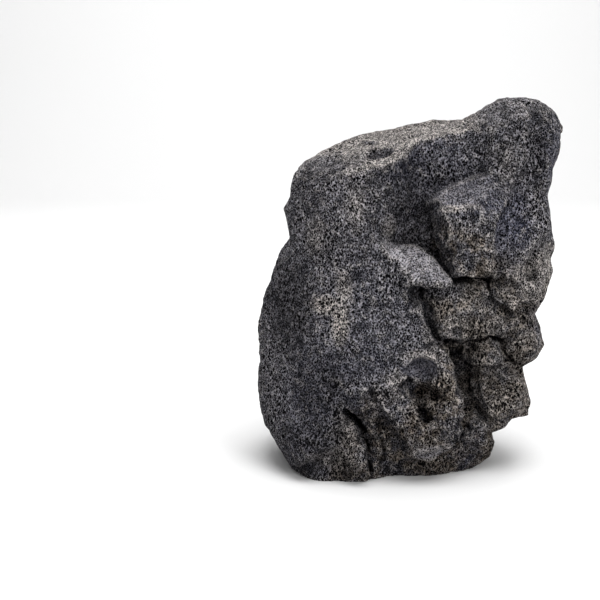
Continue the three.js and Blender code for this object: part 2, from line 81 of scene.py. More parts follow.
# Blocks: outline (x, z), front faces (x, y, z, azimuth, elevation), taper, rounding, blend.
BLOCKS = {
    "recessed wall": (
        [(-24, 200), (110, 260), (110, 140), (40, 120), (-24, 120)],
        [(20, -32, 160, 0, 5)], 0.0, 4.0, 3.0),
    "inner body": (
        [(-100, 150), (-60, 230), (110, 220), (110, -30), (-100, -30)],
        [(0, -24, 90, 0, 4)], 0.0, 6.0, 3.0),
    "front slab": (SLAB, [(-30, -50, 120, -6, 6)], 0.15, 3.0, 2.0),
    "slab flank": (
        [(-20, 220), (12, 220), (6, 150), (4, 124), (-20, 126)],
        [(-16, -47, 150, 47, -2)], 0.2, 3.0, 2.0),
    "petal ledge": (
        [(-19, 132), (-10.4, 129), (-1.5, 128), (3.6, 125.2), (8.9, 121.1), (14, 115.6),
         (17.5, 111.6), (20.5, 107.7), (19, 105), (14.6, 104.5), (6.8, 105), (-2, 104),
         (-14, 112), (-22, 124)],
        [(-2, -54.5, 116, 15, 33), (-4.5, -58, 111.5, -36, -12),
         (11, -57, 107, 5, -25)], 0.0, 1.2, 1.5),
    "ledge": (
        [(3, 149.5), (12, 155), (20, 159), (29, 163), (38, 166.5), (46, 168), (50, 164),
         (45, 150), (40, 140), (39, 130), (39.2, 120.6), (37.5, 113.6), (31, 111),
         (24, 111.8), (20.5, 109.7), (12, 112), (4, 118)],
        [(20, -56, 148.5, 2, 52), (24, -57, 130, 5, 1), (10.5, -56.5, 147, -75, -14),
         (32, -56.5, 142.5, 27, 29), (39, -55, 128, 62, -4)],
        0.1, 1.2, 1.5),
    "right wall": (
        [(38, 190), (66, 200), (64, 130), (52, 106), (36, 112)],
        [(50, -37, 140, 14, 6)], 0.3, 4.0, 8.0),
    "right flank": (
        [(58, 157), (70, 157), (95, 165), (95, 100), (70, 90), (54, 104)],
        [(64, -30, 130, 44, 2)], 0.2, 4.0, 3.0),
    "lip block": (
        [(-26, 56), (-31, 50.5), (-22, 38.5), (-16.5, 30), (-11.5, 21.5), (-7.5, 16), (1.2, 14.5),
         (8.8, 13.5), (16.4, 17), (21, 22.6), (24.6, 32.6), (25.5, 44), (23.5, 53), (20, 61.5),
         (15.5, 69.5), (9.5, 75), (1, 73), (-5.7, 68), (-10.4, 60), (-17, 57.5)],
        [(4, -59.5, 44, 0, 5), (20, -56, 44, 44, 0), (4, -60, 22, 6, -18),
         (-14.5, -59.5, 38, -60, -29)], 0.1, 1.0, 1.0),
    "under the lip": (
        [(-46, 58), (-29, 53), (-20, 41), (-8, 24), (20, 21), (30, 30), (34, -20),
         (-24, -20), (-25, 22), (-31, 32), (-38, 39)],
        [(-16, -52, 30, 6, -10)], 0.2, 3.0, 1.5),
    "left foot": (
        [(-39, 38), (-32, 31), (-26, 20), (-24, -20), (-66, -20), (-56, 12), (-47, 34)],
        [(-40, -53, 20, -8, -2)], 0.3, 3.0, 2.0),
    "foot lump": (
        [(-45, 24), (-41, 33), (-35, 38), (-30, 34), (-26, 24), (-25, 14), (-31, 10), (-42, 12)],
        [(-35, -56, 22, -10, 10), (-33, -55, 33, 10, 45)], 0.3, 2.0, 1.5),
    "left base": (
        [(-46, 60), (-38, 39), (-46, 14), (-52, -20), (-100, -20), (-110, 60)],
        [(-56, -46, 30, -36, -6)], 0.2, 4.0, 3.0),
    "right foot": (
        [(20, 30), (34, 33), (44, 28), (47, 20), (46, 12), (44, -20), (18, -20)],
        [(34, -38, 16, 12, -6), (41, -34, 14, 52, -2)], 0.15, 2.0, 1.5),
    "upper flank block": (
        [(3.5, 101), (10, 105.5), (20, 108), (31, 107.5), (37, 100.5), (43, 92.4), (48, 85),
         (47, 77.6), (40, 75), (32, 74.4), (24, 73.5), (16.4, 76.7), (10, 80), (5, 86)],
        [(22, -52.5, 92, 2, 12), (22, -52, 86, -2, -16), (8, -48.5, 92, -42, 0),
         (40, -47, 88, 40, 8)], 0.2, 3.0, 1.5),
    "middle flank block": (
        [(33.3, 74.3), (40.3, 74.8), (46.7, 72.2), (49.7, 66), (48.4, 60), (41, 59),
         (34.4, 59), (31, 65.5)],
        [(39, -45, 67, 8, 24), (39, -45, 64, 6, -10), (32, -42, 64, -50, 0)], 0.35, 2.5, 1.5),
    "lower flank block": (
        [(37, 57), (44, 58.7), (53, 58.3), (61, 56), (65, 49), (67.5, 40), (67, 30),
         (58, 30), (48, 32), (41, 36), (36.5, 44.7), (34.5, 51)],
        [(50, -40, 48, 10, 20), (50, -40, 42, 14, -8), (38, -38, 46, -46, 0),
         (62, -32, 44, 52, 0)], 0.2, 2.5, 1.5),
    "right bulge block": (
        [(49, 91), (56, 96), (64, 92), (71, 84), (75, 76), (74, 68), (69, 61), (62, 57),
         (55, 61), (50, 68), (48, 80)],
        [(58, -34, 80, 16, 20), (58, -34, 72, 20, -16), (69, -26, 76, 56, 0)], 0.3, 2.5, 1.5),
    "right flank block": (
        [(54, 120), (64, 123), (77, 124), (80, 112), (77, 97), (69, 93), (61, 94), (54, 99)],
        [(62, -32, 108, 14, 8), (72, -26, 108, 44, 2)], 0.2, 2.0, 2.0),
    "middle shelf block": (
        [(40, 105), (47, 109), (55, 105), (58, 97), (51, 91), (43, 94)],
        [(48, -40, 100, 6, 24)], 0.3, 2.0, 1.5),
}

# The sloping top: (x, y, z, azimuth, elevation), rounding.
TOP_FACE = ((-23, -40, 171, -40, 66), 2.5)

# Lumps and hollows: centre, half sizes, roll about Y in degrees, blend.
LUMPS = {
    "horn": ((55, -6, 176), (31, 26, 31), 20, 6.0),
    "horn lobe": ((68, -4, 178), (16, 20, 24), 10, 5.0),
    "upper flank lump": ((24, -31, 88), (19, 16, 13), -22, 3.0),
    "upper flank knob": ((10, -35, 97), (8, 12, 7), 0, 2.0),
    "middle flank lump": ((38, -29, 66), (11, 13, 8), -14, 2.0),
    "lower flank lump": ((51, -25, 44), (14, 14, 15), -20, 2.0),
    "low point": ((60, -19, 35), (10, 12, 9), 0, 2.0),
    "right shoulder": ((66, -20, 112), (12, 14, 18), 8, 2.0),
    "right bulge": ((60, -18, 72), (15, 15, 13), 14, 2.0),
    "middle shelf": ((46, -31, 97), (11, 11, 10), -20, 2.0),
    "lump under the ledge": ((30, -37, 102), (13, 12, 7), 0, 2.0),
    "right foot lump": ((38, -26, 14), (10, 12, 12), 0, 2.0),
    "back left lump": ((-48, 34, 60), (30, 20, 34), 20, 5.0),
    "back lump": ((28, 40, 64), (28, 16, 26), -15, 5.0),
    "back knob": ((-6, 46, 26), (20, 12, 16), 10, 4.0),
}
HOLLOWS = {
    "hole in the top": ((-20, -31, 177), (8, 7, 7.5), 15, 1.0),
    "dent in the top": ((-31, -32, 174.5), (6, 6, 3.5), 15, 1.5),
    "worn corner of the top": ((-56, -34, 179), (20, 22, 13), -10, 2.0),
    "hollow at the lip": ((2, -60, 62.5), (9, 10, 7), 18, 1.5),
    "cave below the lip": ((1, -60, 51), (6.5, 12, 6), -8, 2.0),
    "left branch of the cave": ((-6, -60, 54), (7, 8, 3), 20, 2.0),
    "right branch of the cave": ((7, -59, 52), (6, 8, 3.5), -30, 2.0),
    "low branch of the cave": ((2.5, -61, 42), (2.6, 9, 6.5), 5, 1.5),
    "scoop below the petal": ((-1, -60, 103), (5, 9, 5), -20, 2.0),
    "pit below the petal": ((0, -54, 102), (4.5, 10, 5), 0, 2.0),
    "oval chip": ((7, -61, 17), (8, 7, 4), 8, 1.0),
    "back scoop": ((-18, 66, 128), (40, 20, 30), 25, 6.0),
    "back right scoop": ((60, 44, 124), (24, 22, 30), -20, 6.0),
    "left scoop": ((-98, 18, 120), (22, 26, 30), 0, 6.0),
}

# Clefts: round channels along a line of points, radius, blend.
CLEFTS = {
    "slab cleft": (
        [(3.5, -50, 98), (4.5, -49, 92), (6, -49, 85), (10, -48, 77), (17, -48, 70)], 2.2, 1.5),
    "low slab cleft": (
        [(16, -47, 71), (22, -46, 64), (27, -45, 54), (32, -43, 44), (37, -39, 35),
         (50, -31, 28)], 3.6, 2.0),
    "bulge cleft": (
        [(44, -43, 80), (49, -41, 70), (52, -38, 61), (62, -31, 57), (72, -23, 55)], 2.8, 2.0),
    "lower lump seam": ([(29, -45, 58), (40, -43, 58.5), (50, -39, 59)], 2.2, 2.0),
    "seam below the ledge": (
        [(20, -50, 110), (30, -48, 110), (38, -44, 110), (46, -42, 110)], 1.6, 1.5),
    "horn valley": ([(66, -24, 202), (66, -33, 188), (64, -35, 172), (62, -36, 160)], 3.5, 6.0),
    "flank seam": ([(46, -42, 108), (48, -42, 88), (52, -38, 80), (66, -30, 84)], 2.8, 3.0),
    "lump seam": ([(24, -48, 72), (32, -47, 74), (40, -46, 75), (47, -43, 76)], 2.2, 2.0),
    "back cleft": ([(-50, 50, 96), (-20, 60, 84), (16, 58, 92), (44, 48, 84)], 6.0, 8.0),
    "low back cleft": ([(10, 60, 92), (2, 60, 54), (12, 56, 20)], 4.0, 6.0),
}

# Cracks cut straight back into the front: line (x, z), half width, depth.
CRACKS = {
    "foot crack": ([(-38, 40), (-34.8, 36), (-31, 32.5), (-27.5, 28)], 2.2, 7.0),
    "low foot crack": ([(-27.5, 28), (-25.3, 21), (-25.1, 15), (-23.7, 6)], 1.6, 4.0),
    "second foot crack": ([(-18, 23), (-16, 17), (-16.5, 11)], 1.5, 3.0),
    "crack below the ledge": (
        [(19, 109), (25, 110), (30, 111.5), (38, 109), (39.5, 103.6), (42, 97), (48, 93)],
        1.5, 3.0),
    "crack to the right edge": ([(48, 93), (55, 88.5), (61.5, 88.9), (67.5, 89.5)], 1.6, 3.0),
    "crack over the middle lump": (
        [(17, 76.5), (25, 74.3), (30, 75.8), (36, 76), (40.6, 78), (47.8, 73.6), (50, 67),
         (56, 61), (62, 57)], 1.6, 3.0),
    "crack over the lower lump": (
        [(21.5, 65), (32, 60.5), (38, 61.5), (44.3, 62), (50.8, 63.5)], 1.5, 2.4),
}

# Large broken faces that trim the whole stone: (x, y, z, azimuth, elevation), rounding.
TRIM_FACES = {
    "left front": ((-66, -27, 120, -54, 8), 7.0),
    "low left": ((-74, -42, 6, -50, -34), 8.0),
    "base front": ((0, -52, 5, 12, -50), 4.0),
    "base right front": ((28, -36, 2, 30, -30), 6.0),
    "right front": ((77, -24, 110, 62, 0), 8.0),
    "left side": ((-86, 4, 66, -98, 4), 7.0),
    "left top": ((-66, 10, 158, -112, 34), 6.0),
    "back": ((0, 50, 100, 176, 4), 6.0),
    "back left": ((-58, 32, 96, -130, 9), 7.0),
    "back right": ((60, 30, 100, 132, -4), 7.0),
    "back top": ((10, 40, 178, 168, 46), 6.0),
    "low back": ((0, 42, 14, 186, -32), 7.0),
    "back left low": ((-62, 26, 18, -142, -24), 6.0),
    "back right low": ((52, 22, 24, 118, -26), 7.0),
}

# Torn part of the front, seen from the front, where the surface is rough and lumpy.
TORN_PART = [
    (7, 147), (38, 147), (41, 126), (52, 122), (60, 118), (70, 128), (120, 132), (120, -60),
    (-56, -60), (-50, 0), (-47, 16), (-36, 42), (-25, 54), (-9, 61), (1, 73), (10, 76),
    (4, 93), (0, 100), (8, 104), (20, 103), (23, 108), (16, 117), (6, 122),
]

# Relief: size of the features, height on even faces, extra height on torn ones, seed.
COARSE_RELIEF = [(24.0, 0.9, 1.3, 51), (11.0, 0.4, 0.8, 52)]
FINE_RELIEF = [(6.0, 0.5, 0.5, 53)]
# Ridges: sharp crests where a noise passes through nought, in the same four numbers.
RIDGES = [(15.0, 0.3, 0.7, 55), (8.0, 0.35, 1.0, 56)]
# Broken blocks: size, height on even faces, extra on torn ones, seed, crack between them.
CLINKER = [(17.0, 0.1, 0.7, 91, 1.0)]
# Width of the border between two broken blocks, in sizes of a block.
BLOCK_BORDER = 0.25
# Where the edges of the blocks are worn round: centre, half sizes, extra rounding.
WORN_EDGES = [
    ((-16, -46, 172), (16, 24, 44), 10.0),
    ((-50, -48, 26), (22, 24, 34), 9.0),
]
# Where the torn part is calm: centre, half sizes, share of the roughness that goes.
CALM_PARTS = [
    ((25, -50, 150), (24, 20, 14), 0.8),
    ((-13, -56, 44), (11, 12, 13), 0.6),
    ((2, -54, 64), (11, 14, 9), 0.9),
    ((7, -56, 18), (10, 10, 5), 0.8),
]
# Bends of the space that the form is given in, and of its outline: size, shift, seed.
BENDS = [(50.0, 2.6, 11), (20.0, 1.0, 31)]
OUTLINE_BEND = (12.0, 0.7, 41)
# Raised plates on the back: size, height, noise from and to, seed.
PLATES = [(56.0, 3.4, -0.07, 0.09, 61), (34.0, 2.0, -0.02, 0.16, 62)]
# What the plates add on the whole, taken off again.
PLATE_MEAN = 2.0
# Torn patches on the back: size, noise from and to, seed.
TORN_PATCHES = (60.0, -0.25, 0.25, 71)
# Heights over the surface that say how sheltered it is, for the painted shade there, and what each
# counts.
SHELTER_HEIGHTS = [(3.0, 0.3), (7.0, 0.35), (15.0, 0.35), (28.0, 0.3)]
# Open gas pits with sharp rims: spacing, radius, depth, share of the places that hold one,
# how much of the depth even faces have, seed.
PITS = [
    (14.0, 3.6, 2.4, 0.35, 0.6, 81),
    (7.5, 2.9, 1.9, 0.55, 0.35, 82),
    (4.4, 2.0, 1.3, 0.8, 0.55, 83),
]
# The roughest grain that the net can carry: size, height, seed.
NET_GRAIN = [(3.4, 0.3, 57), (2.7, 0.3, 58)]

# How near a block its outline is worked out, and how far behind its front its sides spread, in mm.
BLOCK_NEAR = 12.0
BLOCK_DEPTH = 24.0
# Share of a region's size over which it fades, and the same for the worn edges.
REGION_EDGE = 0.35
WORN_FADE = 0.6
# A ridge's height at its crest, and how steeply it falls off with the noise.
RIDGE_CREST = 0.45
RIDGE_FALL = 1.5
# A pit's radius as a share of the stated one: the least, and what its grade adds.
PIT_LEAST = 0.6
PIT_EXTRA = 0.8
# Below this slope the net is moved as if the slope were this steep.
LEAST_SLOPE = 0.4
# Points less high than this are set down on the floor, in mm.
FLOOR_REACH = 0.25
# Rounds of averaging that ridges and creases are told from.
BULGE_ROUNDS = 5

# Lattice hash: factors for the place, factor and shifts for the mixing, the largest number of
# ten bits, and what turns two places of a point into its grade.
HASH_FACTORS = (0x8DA6B343, 0xD8163841, 0xCB1AB31F)
HASH_MIXER = 0x5BD1E995
HASH_SHIFTS = (13, 15)
TEN_BITS = 1023
GRADE_FACTORS = (7.0, 5.0)
# The lattice's turn against the stone's axes, and its shift for each seed.
LATTICE_TURN = ((0.8, 0.6, 0.0), (-0.48, 0.64, 0.6), (0.36, -0.48, 0.8))
LATTICE_SHIFT = (17.3, 9.1, 4.7)
# Brings the gradient noise to about -1 to 1.
NOISE_GAIN = 1.6
# More than any distance, and less than the length of any normal.
FAR = 1e9
TINY = 1e-9

# The grid: its lowest corner and its spans in mm, fine cells along a coarse one, and how many
# fine cells from the surface the form is still worked out.
GRID_LOW = (-100.0, -72.0, -6.0)
GRID_SPANS = (200.0, 144.0, 220.0)
COARSE = 4
NEAR_CELLS = 5.2
# Points that are worked out at a time, and how many such parts side by side.
PART_POINTS = 12000
WORKERS = 4

# Steps: 0 up to the first value and 1 from the second. Lengths are in mm.
STEPS = {
    "cracked front": (14.0, 22.0),
    "inside the torn part": (-1.0, 7.0),
    "front to back": (-12.0, 8.0),
    "plated back": (-26.0, 8.0),
    "height of the first pits": (0.3, 2.5),
    "bulge": (0.05, 0.5),
    "shelter_for_painted_shade": (0.08, 0.75),
    "inside the petal": (-1.5, 1.5),
    "petal facing up": (0.25, 0.5),
    "front of the petal": (36.0, 42.0),
    "smooth shelf facing up": (0.35, 0.6),
    "pale shelf facing up": (0.45, 0.75),
    "top facing up": (0.35, 0.7),
    "height of the top": (150.0, 164.0),
    "top to horn": (26.0, 44.0),
    "facing up": (0.35, 0.8),
    "height of the painted light facing up": (20.0, 60.0),
    "beside a cleft": (0.0, 1.2),
    "in a crack": (0.4, 2.0),
    "height of the low painted shade": (4.0, 62.0),
    "facing down": (0.05, 0.6),
}

# Painted parts: strength, centre, half sizes, share of the size over which they fade.
# Dense skin with few pits: the shelf, and the hollow and the chip of the lip.
SMOOTH_SHELF = [(0.5, (30, -44, 156), (26, 22, 14), 0.3)]
SMOOTH_HOLLOWS = [
    (0.8, (1.5, -54, 65), (10, 14, 8), 0.2),
    (0.7, (7, -56, 17), (9, 10, 5), 0.2),
]
# Where the pale top and its painted light are left out: its worn corner, its hole and its dent.
DULL_AND_UNLIT_TOP = [
    (0.95, (-52, -30, 168), (15, 22, 11), 0.4),
    (1.0, (-20, -30, 174), (7, 7, 6), 0.4),
    (0.5, (-34, -32, 173), (9, 8, 6), 0.5),
]
# Lighter skin, partly weathering and partly painted light: the shelf, the right flank, the lumps and
# the foot.
PALE_SHELF = [(0.05, (26, -46, 154), (26, 22, 13), 0.35)]
PALE_LUMPS = [
    (0.8, (68, -18, 108), (18, 30, 18), 0.4),
    (0.28, (46, -34, 76), (42, 30, 50), 0.2),
    (0.3, (-37, -55, 22), (9, 12, 12), 0.4),
]
# Whitish mineral crust in small patches on the slab, the lumps and beside the foot, and painted
# highlights on the shelf's front edge, on rims above the lip's hollows, on two lump tops and on the
# chip's rim.
MINERAL_CRUST_AND_PAINTED_HIGHLIGHTS = [
    (1.0, (-49, -52, 97), (9, 12, 5), 0.4),
    (1.0, (-41, -52, 88), (4.5, 12, 12), 0.4),
    (0.7, (-39, -52, 106), (4, 12, 9), 0.5),
    (0.5, (-33, -50, 149), (5, 12, 11), 0.6),
    (0.6, (-56, -46, 133), (7, 12, 10), 0.6),
    (0.5, (-15, -46, 137), (4, 10, 6), 0.6),
    (0.5, (-43, -52, 13), (14, 12, 6), 0.5),
    # Painted highlight along the shelf's front edge.
    (1.0, (16, -56, 148.5), (5, 6, 1.8), 0.5),
    (0.5, (26, -56, 149.5), (10, 6, 1.6), 0.5),
    # Painted highlights on the rims above the lip's hollow and the cave's left branch.
    (0.6, (3, -58, 71), (11, 8, 3), 0.4),
    (0.5, (-12, -58, 58), (6, 8, 3), 0.5),
    (0.35, (48, -36, 168), (5, 12, 14), 0.6),
    # Painted highlights on the tops of two lumps.
    (0.6, (22, -52, 88), (8, 8, 4), 0.5),
    (0.7, (42, -46, 84), (6, 9, 6), 0.5),
    (0.4, (-38, -55, 32), (7, 8, 8), 0.5),
    # Painted highlight on the chip's upper rim.
    (0.3, (4, -58, 21), (14, 8, 4), 0.5),
]
# Bluish grey on the sheltered walls of the recess and beside the shelf.
COOL_PARTS = [
    (0.5, (8, -38, 168), (26, 16, 16), 0.4),
    (1.0, (50, -38, 136), (11, 18, 24), 0.35),
    (0.6, (26, -46, 155), (24, 20, 11), 0.4),
    (0.6, (72, -10, 176), (10, 24, 20), 0.4),
    (0.7, (70, -18, 82), (9, 20, 12), 0.4),
    (0.4, (-50, -50, 40), (24, 20, 40), 0.4),
    (0.6, (30, -34, 14), (8, 14, 12), 0.4),
    (0.6, (1.5, -54, 65), (10, 14, 8), 0.3),
    (0.3, (-30, -52, 76), (30, 12, 40), 0.5),
]
# Painted shade: the end of the recess, the lower left with a painted shadow, the clefts, and round the
# horn.
PAINTED_SHADE_PARTS = [
    (0.7, (-4, -40, 150), (12, 18, 28), 0.5),
    (0.8, (-70, -36, 92), (15, 30, 26), 0.5),
    (0.9, (-50, -50, 46), (14, 18, 24), 0.5),
    (0.8, (-60, -46, 22), (15, 18, 11), 0.4),
    (0.5, (-22, -48, 34), (11, 12, 16), 0.4),
    (0.3, (26, -42, 58), (9, 12, 22), 0.4),
    (0.5, (9, -46, 84), (6, 12, 16), 0.4),
    (1.0, (-20, -31, 173), (7, 7, 6), 0.3),
    (0.5, (4, -40, 166), (20, 14, 12), 0.5),
    (0.5, (68, -20, 186), (5, 16, 16), 0.5),
    (0.7, (66, -30, 172), (4.5, 14, 24), 0.5),
    (0.5, (48, -30, 178), (18, 20, 20), 0.5),
    (0.35, (24, -46, 156), (20, 20, 8), 0.4),
    (0.4, (-56, -36, 168), (15, 20, 8), 0.5),
    (0.2, (-46, -50, 124), (22, 16, 20), 0.5),
]
# The top's facing leans towards the horn, and its lower limit climbs towards it, both by x.
TOP_LEAN = 0.3
TOP_SLANT = 0.28
# Weathering with painted light on the petal ledge, and painted light on what faces up.
PALE_PETAL = 0.08
PAINTED_LIGHT_FACING_UP = 0.15
# Painted shade: how much higher it reaches under an overhang, in mm, and its strength low down,
# on what faces down, and in the clefts.
PAINTED_SHADE_LIFT = 4.0
PAINTED_SHADE_LOW = 0.55
PAINTED_SHADE_DOWN = 0.5
PAINTED_SHADE_CLEFT = 0.3

# Noises of the finishes: size in metres, detail, roughness.
GRAIN_NOISE = (0.0009, 3.0, 0.75)
CLUMP_NOISE = (0.0042, 3.0, 0.6)
MOTTLE_NOISE = (0.017, 3.0, 0.55)
BROAD_NOISE = (0.055, 2.0, 0.5)
FLECK_NOISE = (0.0013, 1.0, 0.5)
FLOOR_NOISE = (0.05, 2.0, 0.5)
# The noise that makes the pits' outlines wander, its middle, and how far it shifts them, in
# metres along each axis.
WANDER_NOISE = (1.0 / 1100.0, 2.0, 0.5)
NOISE_MIDDLE = (0.5, 0.5, 0.5)
WANDER_SHIFT = (0.0011, 0.0011, 0.0011)

# Gas pits in the finish: softness of the rims and thickness of the walls, in spacings, and the
# spacing, reach and shade of the small and the large pits, in those of the fine ones.
FINE_EDGE = 0.05
FINE_WALL = 0.07
SMALL_SIZE = 0.55
SMALL_REACH = 0.8
SMALL_EDGE = 0.07
SMALL_SHADE = 0.75
LARGE_SIZE = 1.9
LARGE_EDGE = 0.06

# Mixtures: weights of the grain, the clumps and the mottle.
MIXTURES = {
    "tone": (0.6, 0.13, 0.27),
    "brown": (0.0, 0.5, 1.0),
    "weathering": (0.5, 1.0, 0.0),
    "rims": (1.0, 0.6, 0.0),
    "crust": (0.7, 1.0, 0.0),
    "relief": (0.9, 1.1, 0.0),
}
# Ramps: value from and to, result at the start and at the end.
RAMPS = {
    "reach of the pits": (0.3, 0.7, 0.6, 0.5),
    "reach on dense skin": (0.0, 1.0, 1.0, 0.8),
    "reach of the large pits": (0.42, 0.64, 0.1, 0.42),
    "large reach on dense skin": (0.0, 1.0, 1.0, 0.2),
    "tone": (0.38, 0.63, 0.0, 1.0),
    "brown": (0.6, 0.88, 0.0, 1.0),
    "brown on torn stone": (0.0, 1.0, 0.12, 0.85),
    "weathering": (0.5, 0.9, 0.5, 1.0),
    "rims": (0.6, 0.95, 0.05, 0.6),
    "crust": (0.62, 0.8, 0.0, 1.0),
    "flecks": (0.62, 0.7, 0.0, 1.0),
    "strength of the flecks": (0.4, 0.62, 0.15, 0.45),
    "roughness": (0.3, 0.7, 0.7, 1.0),
    "floor roughness": (0.3, 0.7, 0.82, 0.9),
}
# How strongly each layer covers the stone's colour where its share is 1; all but the cool tint are
# painted shade.
COOL_STRENGTH = 0.6
PAINTED_SHADE_STRENGTH = 0.65
CREASE_SHADE_STRENGTH = 0.3
SHELTER_SHADE_STRENGTH = 0.25
PIT_SHADE_STRENGTH = 0.99
# Places of the two colours among a mix node's inputs, and of the mixed one among its outputs.
MIX_INPUTS = (6, 7)
MIX_OUTPUT = 2

# Floor and backdrop: half width, near end, start and radius of the bend, and height, in metres,
# and the points along the bend and from side to side.
SWEEP = {"half_width": 4.0, "near": -3.0, "far": 1.6, "rise": 3.0, "bend": 0.8}
SWEEP_STEPS = (24, 9)
# Soft lights: name, setting that holds the power, place, point that it faces, width, in metres.
LIGHTS = [
    ("top light", "top_light", (0.1, -0.25, 1.1), (0.0, 0.0, 0.1), 0.8),
    ("front light", "front_light", (0.9, -1.2, 0.7), (0.0, 0.0, 0.1), 0.8),
    ("backdrop light", "back_light", (0.0, 0.9, 1.6), (0.0, 2.2, 0.3), 2.0),
]
# Where the camera looks, in metres, half the width that it sees there, and its sensor in mm.
AIM_POINT = ((VIEWPOINT[0] - FORM_MIDDLE[0]) * MM, -FORM_MIDDLE[1] * MM, 91.0 * MM)
HALF_VIEW = 171.4 * MM
SENSOR_WIDTH = 36.0


# The form function and its helpers.


def smooth_max(a, b, width):
    """Larger of two distances, rounded where they differ by less than width: + h*h / 4 width."""
    h = np.maximum(width - np.abs(a - b), 0.0)
    return np.maximum(a, b) + h * h / (4.0 * width)


def smooth_min(a, b, width):
    """Smaller of two distances, filled where they differ by less than width: - h*h / 4 width."""
    h = np.maximum(width - np.abs(a - b), 0.0)
    return np.minimum(a, b) - h * h / (4.0 * width)


def smooth_step(value, low, high):
    """0 below low, 1 above high, and 3 t^2 - 2 t^3 between them."""
    t = np.clip((value - low) / (high - low), 0.0, 1.0)
    return t * t * (3.0 - 2.0 * t)


def stepped(value, name):
    """0 to 1 as the value climbs one of the named steps."""
    return smooth_step(value, *STEPS[name])


def region(p, centre, half, edge=REGION_EDGE):
    """1 inside an ellipsoid and 0 outside it, changing over the given share of its size."""
    q = sum(((p[k] - centre[k]) / half[k]) ** 2 for k in range(3))
    return 1.0 - smooth_step(np.sqrt(q), 1.0 - edge, 1.0 + edge)


def any_of(p, regions):
    """The largest of several regions: strength, centre, half sizes, share that is edge."""
    return np.maximum.reduce([s * region(p, centre, half, edge) for s, centre, half, edge in regions])


def hash_parts(ix, iy, iz):
    """Three numbers from 0 to 1023 for each lattice place: ten bits each of a whole-number hash,
    which is three products mixed by exclusive or and shifts."""
    h = ix * np.uint32(HASH_FACTORS[0])
    h ^= iy * np.uint32(HASH_FACTORS[1])
    h ^= iz * np.uint32(HASH_FACTORS[2])
    h ^= h >> np.uint32(HASH_SHIFTS[0])
    h *= np.uint32(HASH_MIXER)
    h ^= h >> np.uint32(HASH_SHIFTS[1])
    return [(h >> np.uint32(shift)) & np.uint32(TEN_BITS) for shift in (0, 10, 20)]


def turned_lattice(p, size, seed):
    """Place of each point on a lattice of that size, turned against the stone's axes."""
    x, y, z = p / size
    return np.stack([
        a * x + b * y + c * z + shift * seed
        for (a, b, c), shift in zip(LATTICE_TURN, LATTICE_SHIFT)
    ])


def noise(p, size, seed):
    """Gradient noise of about -1 to 1: hashed slopes at the lattice corners, blended by the
    fade 6 t^5 - 15 t^4 + 10 t^3."""
    place = turned_lattice(p, size, seed)
    whole = np.floor(place)
    fx, fy, fz = place - whole
    corner = whole.astype(np.int64).astype(np.uint32)
    fade = [t * t * t * (t * (t * 6.0 - 15.0) + 10.0) for t in (fx, fy, fz)]
    weights = [(1.0 - t, t) for t in fade]
    total = np.zeros(p.shape[1])
    for dx, dy, dz in product((0, 1), repeat=3):
        weight = weights[0][dx] * weights[1][dy] * weights[2][dz]
        parts = hash_parts(
            corner[0] + np.uint32(dx),
            corner[1] + np.uint32(dy),
            corner[2] + np.uint32(dz),
        )
        gx, gy, gz = (part / (TEN_BITS / 2.0) - 1.0 for part in parts)
        total += weight * (gx * (fx - dx) + gy * (fy - dy) + gz * (fz - dz))
    return NOISE_GAIN * total


def nearby_points(p, size, seed):
    """Points scattered one to a lattice cell, at hashed places. For each of the 27 cells around
    every point of p: the grade of its point, 0 to 1, and the squared distance to it in cells."""
    place = turned_lattice(p, size, seed)
    whole = np.floor(place)
    for step in product((-1, 0, 1), repeat=3):
        cell = whole + np.array(step)[:, None]
        key = cell.astype(np.int64).astype(np.uint32)
        spot = np.stack([part / TEN_BITS for part in hash_parts(*key)])
        grade = (spot[0] * GRADE_FACTORS[0] + spot[1] * GRADE_FACTORS[1]) % 1.0
        yield grade, ((place - cell - spot) ** 2).sum(0)


def bend_shift(p, size, height, seed):
    """Shift of each point by three noises, one along each axis."""
    return height * np.stack([noise(p, size, seed + k) for k in range(3)])


def bent(p):
    """The points in the slightly bent space in which the blocks, lumps and clefts are given."""
    return p + sum(bend_shift(p, *bend) for bend in BENDS)


def plane_distance(p, face):
    """Height over a plane through (x, y, z) that faces the azimuth from -Y and the elevation."""
    x, y, z, azimuth, elevation = face
    a, e = np.radians(azimuth), np.radians(elevation)
    n = (np.sin(a) * np.cos(e), -np.cos(a) * np.cos(e), np.sin(e))
    return n[0] * (p[0] - x) + n[1] * (p[1] - y) + n[2] * (p[2] - z)


def outline_distance(x, z, points):
    """Distance to a closed outline, negative inside it: the nearest of its edges, with the
    sign from how many edges a line to the side crosses."""
    corners = np.asarray(points, float)
    best = np.full(x.shape, FAR)
    inside = np.zeros(x.shape, bool)
    for (ax, az), (bx, bz) in zip(corners, np.roll(corners, -1, axis=0)):
        ex, ez = bx - ax, bz - az
        wx, wz = x - ax, z - az
        t = np.clip((wx * ex + wz * ez) / (ex * ex + ez * ez), 0.0, 1.0)
        best = np.minimum(best, (wx - ex * t) ** 2 + (wz - ez * t) ** 2)
        crosses = (az > z) != (bz > z)
        if ez != 0.0:
            inside ^= crosses & (x < ax + (z - az) * ex / ez)
    return np.sqrt(best) * np.where(inside, -1.0, 1.0)


def ellipsoid_distance(p, centre, half, roll):
    """Length of the point in units of the half sizes, less one, times the least half size."""
    c, s = np.cos(np.radians(roll)), np.sin(np.radians(roll))
    x, y, z = p[0] - centre[0], p[1] - centre[1], p[2] - centre[2]
    u = (x * c + z * s) / half[0]
    v = y / half[1]
    w = (z * c - x * s) / half[2]
    return (np.sqrt(u * u + v * v + w * w) - 1.0) * min(half)


